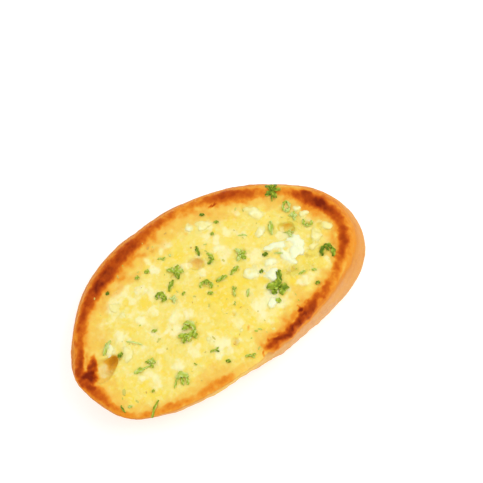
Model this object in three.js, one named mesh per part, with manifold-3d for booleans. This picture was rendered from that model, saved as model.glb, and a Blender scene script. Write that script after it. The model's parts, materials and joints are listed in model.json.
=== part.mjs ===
// A slice of garlic bread: a slanted cut from an oval loaf, toasted along its rim and spread with butter.
// Pieces of garlic and chopped parsley are stuck in the butter, so they are one solid with the bread.
// It lies on its lower cut face. Millimetres, +Z up, +X along the slice, origin in the middle of that face.
import * as THREE from "three";
import { mergeVertices } from "three/addons/utils/BufferGeometryUtils.js";
import Module from "manifold-3d";

// The loaf's oval, about the widest line of a cut face
const HALF_LENGTH = 55.9;
const CROWN_RISE = 35.6; // from the widest line to the loaf's domed top, at +Y
const BASE_DROP = 30.2; // from the widest line to the loaf's flatter base, at -Y
const CROWN_POWER = 1.76; // 2 is an ellipse, and more is squarer
const BASE_POWER = 2.56;
const OVAL_LUMPS = [
  { waves: 3, share: 0.0226, turnDeg: 41 },
  { waves: 5, share: 0.012, turnDeg: -39 },
];
const OVAL_CORNERS = [
  { atDeg: -159, spanDeg: 9, out: 1.1 },
  { atDeg: 177, spanDeg: 7, out: 1.6 },
];

// The slice
const THICKNESS = 18;
const SLANT = new THREE.Vector2(8.8, 4.7); // how far the lower face lies along the slice from the upper one
const LOAF_TWIST_DEG = -9.5; // the lower face's turn against the upper one
const CRUST_BULGE = 2.6; // the crust's swell half way down
const BASE_FLAT = { atDeg: -103, spanDeg: 22, share: 0.45 }; // where the loaf's base has less swell
const UPPER_EDGE = 1.4; // rounding of the upper face's edge
const LOWER_EDGE = 1.0;
const RIM_TEARS = [
  { atDeg: -88, spanDeg: 3.5, depth: 1.1 },
  { atDeg: -76, spanDeg: 2.5, depth: 0.7 },
  { atDeg: -62, spanDeg: 2.5, depth: 0.8 },
  { atDeg: 168, spanDeg: 4.0, depth: 0.6 },
];

// Relief: the spread face sinks inside its crisp rim, and crumb and crust are uneven
const FACE_SINK = 0.9;
const RIM_WIDTH = 6.5;
const CRUMB_LUMPS = [
  { size: 10, height: 0.45 },
  { size: 5, height: 0.3 },
];
const CRUST_LUMPS = [
  { size: 16, height: 0.55 },
  { size: 7, height: 0.4 },
];

// How finely the slice is faceted
const SPOKES = 96;
const FACE_RINGS = 13;
const EDGE_STEPS = 3;
const CRUST_RINGS = 6;
const BASE_RINGS = 2;

// Places on the upper cut face are measured from the middle of its oval.
// Air holes of the crumb: x, y, length, width, depth and turn in degrees
const BIG_HOLES = [
  [-43, 1.5, 7.2, 4.4, 3.3, 30],
  [-46, 1.4, 10.2, 6.8, 2.4, 30],
  [4, 12.6, 6.6, 5.2, 1.9, -38],
  [38.1, 3.3, 6.5, 4.6, 2.3, -38],
];
const SMALL_HOLES = { count: 12, reach: 0.8, least: 1.8, most: 3.4, seed: 11, clear: 1.5 };
const BASE_HOLES = { count: 10, reach: 0.8, least: 2.5, most: 6, seed: 29, clear: 8 };

// Pieces of garlic: x, y, length, width, height above the butter and turn in degrees
const GARLIC = [
  [36, -4.9, 8.4, 6, 2.2, 70],
  [30.8, -0.8, 9.6, 3.2, 1.6, -36],
  [30.4, -6.2, 8.6, 3, 1.5, -84],
  [24.4, -4.6, 4.8, 4.2, 1.6, 52],
  [21.8, -7.7, 5.4, 4.6, 1.6, -30],
  [17.6, -3.3, 5.6, 5.4, 1.1, 0],
  [44, -6.1, 6, 3.6, 1.5, 45],
  [40.8, -9, 3, 2.2, 1.1, 10],
  [50.2, -5.3, 5, 3.4, 1.2, -25],
  [33, 14.8, 6.6, 3.8, 1.3, -62],
  [29.6, 7.7, 5.6, 3, 1.3, 20],
  [46, 7, 3.4, 2.2, 1.1, -38],
  [46.5, 3.2, 4.2, 2.8, 1.1, -38],
  [15.4, -16.4, 4.2, 3.4, 1.2, 50],
  [-40.4, 5.7, 3.6, 3.2, 1.3, 35],
  [-36.2, 1, 4.8, 3.4, 1.3, 50],
  [-29.6, 17.8, 3.8, 3.2, 1, -38],
  [-29, 13.4, 2.9, 2.8, 1, -38],
  [15.4, 23, 6.6, 3.6, 1.1, -34],
  [10.3, 25.5, 3.2, 3.1, 1.1, 0],
];

// Soft creamy lumps in the butter: x, y, length, width, height above the butter and turn in degrees
const CREAM_LUMPS = [
  [-15.2, 1.2, 6.6, 4.6, 0.9, 40],
  [-10.4, -1.2, 5.2, 4.4, 0.8, 20],
  [-25.2, 7.4, 6, 3.4, 0.9, -60],
  [-9.7, 20.3, 4, 3.6, 0.6, -38],
  [-17.9, 17, 5.2, 3, 0.9, -38],
  [0.3, 14.4, 3.8, 3, 1, -20],
  [3.2, 8.8, 4.2, 3.4, 0.7, -38],
  [-19.3, 7.8, 3.8, 3.2, 0.6, 40],
  [29.1, -16.9, 5.8, 4.2, 0.7, -38],
  [-25, -13.4, 4.8, 4.6, 0.7, 40],
  [-37.6, -9.8, 5, 3, 0.6, -38],
  [-34.8, 7.5, 5, 3, 0.9, 50],
  [14, 11.7, 4.6, 3, 0.6, -38],
];

// Smaller bits of garlic between them
const GARLIC_BITS = { count: 16, reach: 0.82, least: 1.6, most: 2.6, height: 0.8, seed: 41, clear: 1 };

// Parsley leaves: x, y, length, width and turn in degrees
const PARSLEY = [
  [43.8, 17.6, 6.2, 7, -38],
  [43.7, 9.6, 3.2, 4.4, -38],
  [43, 5, 3.2, 4, -38],
  [45.5, -0.4, 3.4, 2.8, 142],
  [37.3, 0.9, 3.8, 4.6, -38],
  [33.7, 6.4, 5.4, 2.2, 52],
  [25.1, -0.4, 2.4, 2, -38],
  [28.9, -3.2, 3.2, 1, -50],
  [43.5, -13.6, 4.9, 5, -38],
  [18, 5.4, 5.3, 5.2, -80],
  [30.8, -14.4, 2.8, 1.2, -15],
  [34.9, -16.2, 2, 0.9, -38],
  [32.3, -21.1, 1.8, 2, -38],
  [19.5, -5, 1.5, 2.4, -38],
  [23.6, -10.5, 5.2, 2.8, 52],
  [20.3, -13.2, 8, 5.6, -38],
  [17, -17.5, 2.3, 2.8, -38],
  [8.7, 11.1, 3, 4.3, -38],
  [7.1, 16.1, 3.8, 1.7, 66],
  [-4.4, 14.8, 6.1, 5.6, -38],
  [-8.7, 11.5, 4.6, 1.9, 30],
  [-14.2, 10.2, 3.7, 4, -38],
  [-11.4, 6.8, 2.6, 3.4, -38],
  [1.1, 3.9, 4.4, 3, -38],
  [0.2, 0.3, 2.1, 1.8, -38],
  [6.9, 2, 4.4, 2.2, -8],
  [12.6, 1.7, 4.6, 1.9, 10],
  [7.4, -4.5, 4, 1.5, 52],
  [10.9, -8, 3.2, 1.2, 40],
  [-15.3, -6.3, 6.8, 8, -38],
  [-32.2, -7, 3.7, 4, -38],
  [-37, -7, 3.8, 2.8, -15],
  [-34.6, -7.4, 3.4, 0.9, -10],
  [-27.8, -19, 5.2, 5.4, -38],
  [-40.5, 7.1, 6, 1.7, 30],
  [-38.6, 1.7, 2.2, 2.8, -38],
  [-32, 2.4, 6, 0.6, -51],
  [-12, -17.5, 3.4, 1.8, -20],
  [-41.1, -21.2, 7, 1.1, 34],
  [-49.5, -14.4, 3, 1.3, 82],
  [-3.8, -27, 3.8, 2, -38],
  [-11, -23.6, 2, 1.5, -60],
  [17.4, 26.6, 2.2, 1.2, -38],
  [-28.2, 23.4, 1.3, 2.2, -38],
  [-12.2, 21.2, 1.9, 2.2, -38],
  [-16.4, 21.4, 1.7, 2.2, -38],
  [-4.9, 22.1, 2.7, 1.5, -38],
  [19.7, 21.1, 2, 1.4, -38],
  [15.5, 18.2, 1.2, 2.2, -38],
  [23.7, 10.7, 3.4, 1.2, -38],
  [-23.9, 1.6, 2.3, 1.3, -38],
  [-47.2, -15.2, 1.7, 1.2, -38],
  [-37.7, -15.8, 1, 1.8, -38],
];
const PARSLEY_FLECKS = { count: 22, reach: 0.84, least: 1.2, most: 2, seed: 67, clear: 1.2 };
const LEAF_THICKNESS = 1.3;
const LEAF_PROUD = 0.55; // how far a leaf stands out of the butter
const LEAF_WAVE = 0.2;
const LOBE_SPACING = 3.4; // along a leaf's edge

const GOLDEN_TURN = Math.PI * (3 - Math.sqrt(5));
const MIDDLE = new THREE.Vector2();
const UPPER_MIDDLE = SLANT.clone().negate();

const radians = THREE.MathUtils.degToRad;
const { lerp, smoothstep } = THREE.MathUtils;
const wasm = await Module();
wasm.setup();

// A repeatable stream of numbers from 0 to 1.
function stream(seed) {
  let state = seed >>> 0;
  return () => {
    state = (Math.imul(state, 1664525) + 1013904223) >>> 0;
    return state / 4294967296;
  };
}

// One repeatable number from -1 to 1 for each point of a whole-number lattice.
function lattice(i, j, k) {
  const mixed = Math.imul(i, 374761393) ^ Math.imul(j, 668265263) ^ Math.imul(k, 2147483647);
  const stirred = Math.imul(mixed ^ (mixed >>> 13), 1274126177);
  return ((stirred ^ (stirred >>> 16)) >>> 0) / 2147483648 - 1;
}

// Smooth lumps of the given size, from -1 to 1.
function lump(x, y, z, size) {
  const cell = [x, y, z].map((v) => Math.floor(v / size));
  const share = [x, y, z].map((v, n) => smoothstep(v / size - cell[n], 0, 1));
  const corner = (i, j, k) => lattice(cell[0] + i, cell[1] + j, cell[2] + k);
  const along = (j, k) => lerp(corner(0, j, k), corner(1, j, k), share[0]);
  const across = (k) => lerp(along(0, k), along(1, k), share[1]);
  return lerp(across(0), across(1), share[2]);
}

const lumps = (list, x, y, z) =>
  list.reduce((sum, { size, height }) => sum + height * lump(x, y, z, size), 0);

// 1 at an angle and less away from it, with the given span.
function nearness(angle, atDeg, spanDeg) {
  const off = angle - radians(atDeg);
  const nearest = Math.atan2(Math.sin(off), Math.cos(off));
  return Math.exp(-((nearest / radians(spanDeg)) ** 2));
}

// Distance from the middle of the oval to its edge, in the direction of an angle.
function ovalRadius(angle) {
  const [c, s] = [Math.abs(Math.cos(angle)), Math.abs(Math.sin(angle))];
  const [side, power] = Math.sin(angle) > 0 ? [CROWN_RISE, CROWN_POWER] : [BASE_DROP, BASE_POWER];
  const plain = ((c / HALF_LENGTH) ** power + (s / side) ** power) ** (-1 / power);
  const swell = OVAL_LUMPS.reduce(
    (sum, { waves, share, turnDeg }) => sum + share * Math.cos(waves * angle - radians(turnDeg)),
    1,
  );
  const corners = OVAL_CORNERS.reduce(
    (sum, { atDeg, spanDeg, out }) => sum + out * nearness(angle, atDeg, spanDeg),
    0,
  );
  return plain * swell + corners;
}

// A point of the oval's edge, moved out square to that edge.
function rimPoint(angle, out) {
  const step = 0.01;
  const at = (a) => new THREE.Vector2(Math.cos(a), Math.sin(a)).multiplyScalar(ovalRadius(a));
  const along = at(angle + step).sub(at(angle - step)).normalize();
  return at(angle).add(new THREE.Vector2(along.y, -along.x).multiplyScalar(out));
}

// How far the upper edge is torn in at an angle.
function tear(angle) {
  return RIM_TEARS.reduce(
    (sum, { atDeg, spanDeg, depth }) => sum + depth * nearness(angle, atDeg, spanDeg),
    0,
  );
}

// The crust's swell at an angle and at a share of the way down.
function crustSwell(angle, depth) {
  const flat = BASE_FLAT.share * nearness(angle, BASE_FLAT.atDeg, BASE_FLAT.spanDeg);
  return CRUST_BULGE * (1 - flat) * (1 - Math.abs(2 * depth - 1) ** 3);
}

// Height of the upper face at a place on it, before holes are cut.
function faceHeight(x, y) {
  const toRim = ovalRadius(Math.atan2(y, x)) - Math.hypot(x, y);
  const inside = smoothstep(toRim, 0, RIM_WIDTH);
  return THICKNESS - FACE_SINK * inside + lumps(CRUMB_LUMPS, x, y, THICKNESS) * lerp(0.35, 1, inside);
}

// Depth of the holes at a place on the upper face.
function holeDepth(x, y) {
  return BIG_HOLES.reduce((deepest, [holeX, holeY, length, width, depth, turnDeg]) => {
    const offset = new THREE.Vector2(x - holeX, y - holeY).rotateAround(MIDDLE, -radians(turnDeg));
    const share = (2 * offset.x) ** 2 / length ** 2 + (2 * offset.y) ** 2 / width ** 2;
    return Math.max(deepest, depth * Math.sqrt(Math.max(0, 1 - share)));
  }, 0);
}

// The stations of one spoke, from the upper face's middle over the edge and down to the lower middle.
// reach is the share of the way to the rim, out starts at the oval's edge, and drop at the upper face.
function spokeStations() {
  const stations = [];
  for (let n = 0; n <= FACE_RINGS; n++) {
    stations.push({ reach: n / FACE_RINGS, out: -UPPER_EDGE, drop: 0, face: true });
  }
  for (let n = 1; n <= EDGE_STEPS; n++) {
    const a = ((Math.PI / 2) * n) / EDGE_STEPS;
    const drop = UPPER_EDGE * (1 - Math.cos(a));
    stations.push({ reach: 1, out: -UPPER_EDGE * (1 - Math.sin(a)), drop, crust: true, uneven: 0.5 });
  }
  for (let n = 1; n <= CRUST_RINGS; n++) {
    const drop = lerp(UPPER_EDGE, THICKNESS - LOWER_EDGE, n / CRUST_RINGS);
    stations.push({ reach: 1, out: 0, drop, crust: true, uneven: 1 });
  }
  stations.push({ reach: 1, out: -LOWER_EDGE * 0.3, drop: THICKNESS - LOWER_EDGE * 0.3 });
  for (let n = BASE_RINGS; n >= 0; n--) {
    stations.push({ reach: n / BASE_RINGS, out: -LOWER_EDGE, drop: THICKNESS });
  }
  return stations;
}

// Where a station of the spoke at an angle lies in space.
function surfacePoint({ reach, out, drop, face, crust, uneven }, angle) {
  const depth = drop / THICKNESS;
  const flat = rimPoint(angle, crust ? out + crustSwell(angle, depth) : out).multiplyScalar(reach);
  if (crust) {
    const rough = uneven * lumps(CRUST_LUMPS, flat.x, flat.y, drop);
    flat.setLength(flat.length() + rough - tear(angle) * (1 - smoothstep(depth, 0, 0.25)));
  }
  const z = face ? faceHeight(flat.x, flat.y) : THICKNESS - drop;
  flat.rotateAround(MIDDLE, radians(LOAF_TWIST_DEG) * depth).addScaledVector(UPPER_MIDDLE, 1 - depth);
  return new THREE.Vector3(flat.x, flat.y, z);
}

// The bread: a turned blank whose stations are pushed out to the loaf's oval, slant and relief.
function breadGeometry() {
  const stations = spokeStations();
  const profile = stations.map(({ reach, drop }) => new THREE.Vector2(reach, THICKNESS - drop));
  const blank = new THREE.LatheGeometry(profile, SPOKES);
  const position = blank.getAttribute("position");
  for (let n = 0; n < position.count; n++) {
    const spoke = Math.floor(n / stations.length) % SPOKES;
    const point = surfacePoint(stations[n % stations.length], (-2 * Math.PI * spoke) / SPOKES);
    position.setXYZ(n, point.x, point.y, point.z);
  }
  return blank;
}

// A closed mesh as a solid.
function solidOf(geometry) {
  const bare = geometry.clone();
  bare.deleteAttribute("normal");
  bare.deleteAttribute("uv");
  const merged = mergeVertices(bare, 1e-4);
  const corners = merged.index.array;
  const kept = [];
  for (let n = 0; n < corners.length; n += 3) {
    const [a, b, c] = corners.subarray(n, n + 3);
    if (a !== b && b !== c && a !== c) kept.push(a, b, c);
  }
  const vertProperties = merged.getAttribute("position").array;
  return new wasm.Manifold(new wasm.Mesh({ numProp: 3, vertProperties, triVerts: new Uint32Array(kept) }));
}

// A solid as a mesh's geometry.
function geometryOf(solid) {
  const { vertProperties, triVerts } = solid.getMesh();
  const geometry = new THREE.BufferGeometry();
  geometry.setAttribute("position", new THREE.BufferAttribute(vertProperties, 3));
  geometry.setIndex(new THREE.BufferAttribute(triVerts, 1));
  geometry.computeVertexNormals();
  return geometry;
}

// Turns a shape about Z and sets it down at a place on the upper face.
function setDown(geometry, x, y, z, turnDeg) {
  geometry.rotateZ(radians(turnDeg));
  return solidOf(geometry.translate(x + UPPER_MIDDLE.x, y + UPPER_MIDDLE.y, z));
}

// An uneven rounded lump, as long, wide and tall as given, with its middle at the origin.
function pebble(length, width, tall, detail, shift) {
  const shape = new THREE.IcosahedronGeometry(0.5, detail);
  const position = shape.getAttribute("position");
  const point = new THREE.Vector3();
  for (let n = 0; n < position.count; n++) {
    point.fromBufferAttribute(position, n);
    point.multiplyScalar(1 + 0.3 * lump(point.x + shift, point.y - shift, point.z, 0.45));
    position.setXYZ(n, point.x * length, point.y * width, point.z * tall);
  }
  return shape;
}

function holeSolid([x, y, length, width, depth, turnDeg]) {
  return setDown(pebble(length, width, 2 * depth, 1, x), x, y, faceHeight(x, y) + 0.2, turnDeg);
}

function garlicSolid([x, y, length, width, height, turnDeg]) {
  const shape = pebble(length, width, 2 * height, length > 4 ? 1 : 0, x + y);
  return setDown(shape, x, y, faceHeight(x, y) - holeDepth(x, y), turnDeg);
}

// A lobed, gently waved leaf that stands a little out of the butter.
function leafSolid([x, y, length, width, turnDeg]) {
  const lobes = Math.max(3, Math.round(((length + width) * Math.PI) / 2 / LOBE_SPACING));
  const outline = [];
  for (let n = 0; n < 2 * lobes; n++) {
    const chance = lattice(n, Math.round(x), Math.round(y));
    const a = (Math.PI * (n + 0.4 * chance)) / lobes;
    const far = (n % 2 ? 0.6 : 0.9) + 0.1 * chance;
    outline.push(new THREE.Vector2((Math.cos(a) * far * length) / 2, (Math.sin(a) * far * width) / 2));
  }
  const shape = new THREE.Shape(outline);
  const leaf = new THREE.ExtrudeGeometry(shape, { depth: LEAF_THICKNESS, bevelEnabled: false });
  const position = leaf.getAttribute("position");
  for (let n = 0; n < position.count; n++) {
    const wave = Math.sin(2.1 * position.getX(n) + x) * Math.cos(1.9 * position.getY(n));
    position.setZ(n, position.getZ(n) + LEAF_WAVE * wave);
  }
  const top = faceHeight(x, y) - holeDepth(x, y) + LEAF_PROUD;
  return setDown(leaf, x, y, top - LEAF_THICKNESS, turnDeg);
}

// Places on a sunflower spiral over the oval, a little shaken and clear of those already taken.
function spread({ count, reach, least, most, seed, clear }, taken) {
  const next = stream(seed);
  const places = [];
  for (let n = 0; n < count; n++) {
    const angle = n * GOLDEN_TURN + 0.7 * next();
    const radius = reach * Math.sqrt((n + 0.5) / count) * ovalRadius(angle);
    const [x, y] = [radius * Math.cos(angle), radius * Math.sin(angle)];
    const place = { x, y, length: lerp(least, most, next()), slim: next(), turnDeg: 360 * next() };
    const gap = ([px, py, size]) => Math.hypot(px - x, py - y) - (size + place.length) / 2;
    if (taken.every((other) => gap(other) > clear)) places.push(place);
  }
  return places;
}

const toppings = [...GARLIC, ...CREAM_LUMPS, ...PARSLEY];
const smallHoles = spread(SMALL_HOLES, [...BIG_HOLES, ...toppings]).map(
  ({ x, y, length, slim, turnDeg }) => {
    const width = length * lerp(0.6, 0.9, slim);
    return [x, y, length, width, 0.45 * length, turnDeg];
  },
);
const holes = [...BIG_HOLES, ...smallHoles];
const garlicBits = spread(GARLIC_BITS, [...holes, ...toppings]).map(
  ({ x, y, length, slim, turnDeg }) => {
    const width = length * lerp(0.6, 0.95, slim);
    return [x, y, length, width, GARLIC_BITS.height, turnDeg];
  },
);
const flecks = spread(PARSLEY_FLECKS, [...holes, ...toppings, ...garlicBits]).map(
  ({ x, y, length, slim, turnDeg }) => [x, y, length, length * lerp(0.45, 0.8, slim), turnDeg],
);

// Air holes in the lower cut face, kept away from its middle.
const baseHoles = spread(BASE_HOLES, [[0, 0, 0]]).map(({ x, y, length, slim, turnDeg }) => {
  const shape = pebble(length, length * lerp(0.6, 0.9, slim), length * 0.8, 0, x);
  const place = new THREE.Vector2(x, y).rotateAround(MIDDLE, radians(LOAF_TWIST_DEG));
  shape.rotateZ(radians(turnDeg));
  return solidOf(shape.translate(place.x, place.y, 0));
});

let slice = solidOf(breadGeometry());
for (const hole of [...holes.map(holeSolid), ...baseHoles]) slice = slice.subtract(hole);
for (const piece of [...GARLIC, ...CREAM_LUMPS, ...garlicBits].map(garlicSolid)) slice = slice.add(piece);
for (const leaf of [...PARSLEY, ...flecks].map(leafSolid)) slice = slice.add(leaf);

const toast = new THREE.MeshStandardMaterial({ color: 0xf3d27a, roughness: 0.55, metalness: 0 });
const garlicBread = new THREE.Mesh(geometryOf(slice), toast);
garlicBread.name = "garlic_bread_slice";

const part = new THREE.Group();
part.add(garlicBread);

export default part;
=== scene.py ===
"""A slice of garlic bread, toasted at the rim, with garlic butter, minced garlic and parsley."""

import json
import math
from collections import namedtuple

import bpy
import numpy as np
from bpy.props import FloatProperty, FloatVectorProperty, PointerProperty
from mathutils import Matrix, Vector, noise
from mathutils.bvhtree import BVHTree

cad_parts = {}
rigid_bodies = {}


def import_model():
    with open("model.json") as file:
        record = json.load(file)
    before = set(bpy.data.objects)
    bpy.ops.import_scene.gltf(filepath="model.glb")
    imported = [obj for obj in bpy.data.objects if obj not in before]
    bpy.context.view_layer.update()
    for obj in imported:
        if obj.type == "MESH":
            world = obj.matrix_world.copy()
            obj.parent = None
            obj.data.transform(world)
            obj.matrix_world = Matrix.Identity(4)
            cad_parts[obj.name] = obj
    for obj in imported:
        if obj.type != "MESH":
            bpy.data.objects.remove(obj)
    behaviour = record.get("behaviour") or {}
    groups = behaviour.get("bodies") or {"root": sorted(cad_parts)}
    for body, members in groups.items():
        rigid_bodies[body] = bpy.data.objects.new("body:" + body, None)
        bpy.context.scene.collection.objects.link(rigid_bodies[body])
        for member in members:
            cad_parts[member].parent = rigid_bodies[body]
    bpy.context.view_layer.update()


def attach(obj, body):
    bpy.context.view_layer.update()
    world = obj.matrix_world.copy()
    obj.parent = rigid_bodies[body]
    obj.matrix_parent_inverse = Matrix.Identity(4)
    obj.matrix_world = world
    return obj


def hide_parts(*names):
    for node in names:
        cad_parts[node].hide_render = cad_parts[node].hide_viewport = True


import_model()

bl_info = {
    "name": "Garlic Bread Slice",
    "version": (1, 0, 0),
    "blender": (4, 5, 0),
    "location": "View3D > Sidebar > Garlic Bread",
    "description": "Makes a toasted slice of bread with garlic butter, minced garlic and parsley",
    "category": "Add Mesh",
}

MM = 0.001
NODE = "garlic_bread_slice"
BODY = "root"
GOLDEN_TURN = math.pi * (3 - math.sqrt(5))

# Waves in the loaf's oval: how many round the loaf, their share of the radius, and their turn in degrees
OVAL_WAVES = ((3, 0.0226, 41), (5, 0.012, -39))
# Corners where the oval is fuller: angle and span in degrees, and how far out in mm
OVAL_CORNERS = ((-159, 9, 1.1), (177, 7, 1.6))
# Where the crust of the loaf's base swells less: angle and span in degrees, and the share that is missing
BASE_FLAT = (-103, 22, 0.45)

# Where the crust beside the rim is golden with butter: angle and span in degrees
BUTTERED_CRUST = (-112, 26)
# Where the crust is golden rather than brown: angle and span in degrees
GOLDEN_CRUST = (-10, 34)
# Where the crust is most wrinkled: angle and span in degrees
ROUGH_CRUST = (-92, 42)
# Where the toasted band is most ragged: angle and span in degrees
RAGGED_RIM = (-66, 28)
# Where the toast glows further inwards: angle and span in degrees, and the share that is added
GLOWING_RIM = ((-62, 22, 0.3), (65, 45, 0.2))
# Where the upper rim is worn: angle and span in degrees, and share
RIM_WEAR = ((-85, 45, 1), (170, 20, 0.6))
# Lumps of the crumb and of the crust: size and height in mm, and octaves
CRUMB_RELIEF = ((9, 0.42, 1), (3.6, 0.2, 1), (1.4, 0.1, 2))
CRUST_RELIEF = ((15, 0.5, 1), (5.5, 0.2, 1), (1.8, 0.08, 2))

# How the rim is toasted, going round it: angle in degrees, strength from 0 to 1, and in mm the width of the
# dark band and how far its darkest line is inside the rim
TOAST_ROUND_RIM = (
    (-175, 0.57, 6, 1.3), (-168, 0.46, 4.4, 0.9), (-162, 0.38, 3.5, 0.6), (-150, 0.38, 3.2, 1),
    (-146, 0.4, 3.4, 1.1), (-135, 0.36, 5, 1), (-127, 0.38, 7, 0.8), (-115, 0.3, 4.6, 0.8),
    (-108, 0.15, 2.5, 1), (-97, 0.12, 2.5, 1), (-89, 0.2, 2.6, 1.2), (-84, 0.7, 4.2, 1.8),
    (-78, 0.89, 4.6, 1.8), (-70, 0.87, 4, 0.6), (-62, 0.86, 3.8, 0.3), (-53, 0.86, 3.8, 0.6),
    (-44, 0.72, 4.6, 1.2), (-35, 0.54, 3.2, 0.9), (-29, 0.48, 3.2, 1.2), (-25, 0.54, 3.5, 1.7),
    (-20, 0.74, 4, 1.9), (-13, 0.75, 4.4, 1.8), (-8, 0.7, 4.2, 1.3), (-3, 0.82, 5, 1.8),
    (3, 0.97, 6.2, 2.4), (7, 0.95, 6, 2.4), (12, 0.66, 5.2, 1.9), (17, 0.45, 4.5, 1.8),
    (23, 0.4, 4.5, 1.8), (28, 0.5, 5, 2), (35, 0.64, 6.2, 1.6), (40, 0.7, 6.2, 0.8), (45, 0.73, 6, 0.3),
    (52, 0.6, 5, 0.3), (60, 0.46, 3.8, 0.5), (70, 0.46, 4.4, 0.3), (80, 0.53, 5, 0.1),
    (90, 0.58, 5.4, 0.4), (100, 0.68, 6, 0.6), (108, 0.76, 6.2, 0.7), (115, 0.8, 6.4, 1),
    (123, 0.86, 6.6, 1.5), (130, 0.88, 6.6, 1.6), (137, 0.86, 6, 1.6), (145, 0.78, 5.2, 1.4),
    (152, 0.7, 4.6, 1.3), (160, 0.67, 4, 1), (166, 0.7, 3.6, 1), (172, 0.85, 2.9, 1.1),
    (177, 0.8, 4.5, 1.3),
)
# Where the upper rim is torn in: angle and span in degrees, and depth in mm
RIM_TEARS = ((-88, 3.5, 1.1), (-76, 2.5, 0.7), (-62, 2.5, 0.8), (168, 4, 0.6))

# Places on the upper cut face, in mm from the middle of its oval, with turns in degrees.
# Burnt spots: x, y, length, width, turn, strength
BURNT_SPOTS = (
    (-52.4, 2.6, 9.5, 6, -53, 1.08), (-48.2, 5, 10, 4, 44, 0.92), (-53.4, -1.2, 7, 5, 80, 0.86),
    (-50.4, 2.8, 6, 4.6, 0, 1.05), (23.1, 27.1, 6.5, 1.6, -17, 0.85), (53, 8.5, 9, 3.4, -50, 0.9),
    (-37, -24, 9, 4.5, -30, 0.46), (-17.2, -28, 14, 5.6, -10, 0.44), (0, -30.3, 2.4, 1.4, 0, 0.5),
    (7.2, -28.4, 6, 2.4, -4, 0.98), (14, -28.9, 6, 2.2, 6, 1.02), (21, -27.2, 7, 2.4, 12, 1),
    (17.5, -25.6, 14, 5, 22, 0.4), (4, -27.6, 6, 4, 0, 0.42), (20.5, -24.4, 3.4, 3, 0, 1.2),
    (2, -18.4, 3, 2.2, 20, 0.32), (23, -20, 24, 10, 22, 0.15), (-41.5, 11.5, 18, 13, 50, 0.19),
    (-49.2, 7.4, 13, 4.6, 54, 0.33),
)
# Strips that stay pale beside the burnt ones: x, y, length, width, turn, strength
SPARED_SPOTS = (
    (-48.9, 7.9, 11, 2.4, 54, 0.35), (17.2, -26, 5, 2, 20, 0.3), (-44.8, 0.6, 12, 8, 30, 1),
    (29, 20, 14, 8, -38, 0.5), (40.4, -16.6, 8, 4.5, 60, 0.75),
)
# Air holes: x, y, length, width, depth, turn
HOLES = (
    (-43, 1.5, 7.2, 4.4, 3.3, 30), (-46, 1.4, 10.2, 6.8, 2.4, 30), (4, 12.6, 6.6, 5.2, 1.9, -38),
    (38.1, 3.3, 6.5, 4.6, 2.3, -38),
)
# Painted shade inside the air holes: x, y, length, width, turn, and shares of tan and of gold
HOLE_SHADES = (
    (-42.4, 1.4, 12.2, 7.2, 30, 0, 1.15), (-47.4, 0.2, 9, 7, 30, 0.4, 0),
    (4.2, 13, 7.4, 5.4, -38, 1.3, 0), (38.9, 4.4, 7, 3.4, -38, 0, 0.62),
)
# Broad creamy smears: x, y, length, width, turn, strength
CREAM_SMEARS = (
    (27, -4.4, 15, 11, -20, 0.65), (-15, 0.6, 17, 9, 25, 0.25), (-38, 4, 10, 8, 20, 0.4),
    # The smear at -46.6, 0.4 is a painted highlight: it makes the lit wall of the large air hole pale.
    (-22, -1, 15, 17, 30, 0.5), (14, 12.5, 9, 4.5, -38, 0.25), (-46.6, 0.4, 8, 7, 30, 0.9),
    (50, -5.6, 6, 5, 60, 0.3), (-34, -13.5, 16, 8, 20, 0.3), (14, 24, 12, 4.5, -30, 0.4),
    (-48.2, -14.8, 8, 4.5, 20, 0.5), (33, 14.5, 11, 6.5, -50, 0.35), (-9, -19, 16, 9, 5, 0.45),
    (11, -17, 18, 13, 0, 0.65), (-12, 19.5, 12, 7, 20, 0.35), (-32, 9, 12, 9, 30, 0.3),
    (17, -12.5, 12, 9, 0, 1), (40.6, -16.8, 8, 4.6, 60, 1),
)
# Butter stained by the herbs: x, y, length, width, turn, strength
HERB_STAINS = (
    (37, -11, 24, 14, 20, 0.8), (40, 3, 18, 14, -30, 0.8), (27, -18.5, 14, 8, -20, 0.6),
    (42, -7, 14, 9, 40, 0.7), (8, 10, 12, 7, -30, 0.4), (-44, -7, 10, 12, 0, 0.3),
    (29, -11.5, 13, 8, 0, 1), (48, -4, 12, 9, 60, 0.55), (-41, 9, 8, 5, 60, 0.6),
)
# Pools of butter: x, y, length, width, turn, strength
BUTTER_POOLS = (
    (3, -2, 40, 34, -10, 0.8), (-42, -9, 18, 18, 0, 0.5), (-10, 11, 16, 10, 20, 0.3),
    (37, -13, 20, 12, 20, 0.5), (0, 19, 12, 8, 0, 0.4), (19, 11, 13, 9, -20, 0.5),
    (-21, 12, 11, 8, 0, 0.4), (-11, -5, 11, 8, 0, 0.6), (26.2, 8.5, 8, 7, 50, 1), (9, 4, 13, 9, 0, 0.8),
    (40.5, -6.5, 8, 7, 0, 1), (27.8, -14.6, 8, 6, 0, 1),
)
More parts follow.
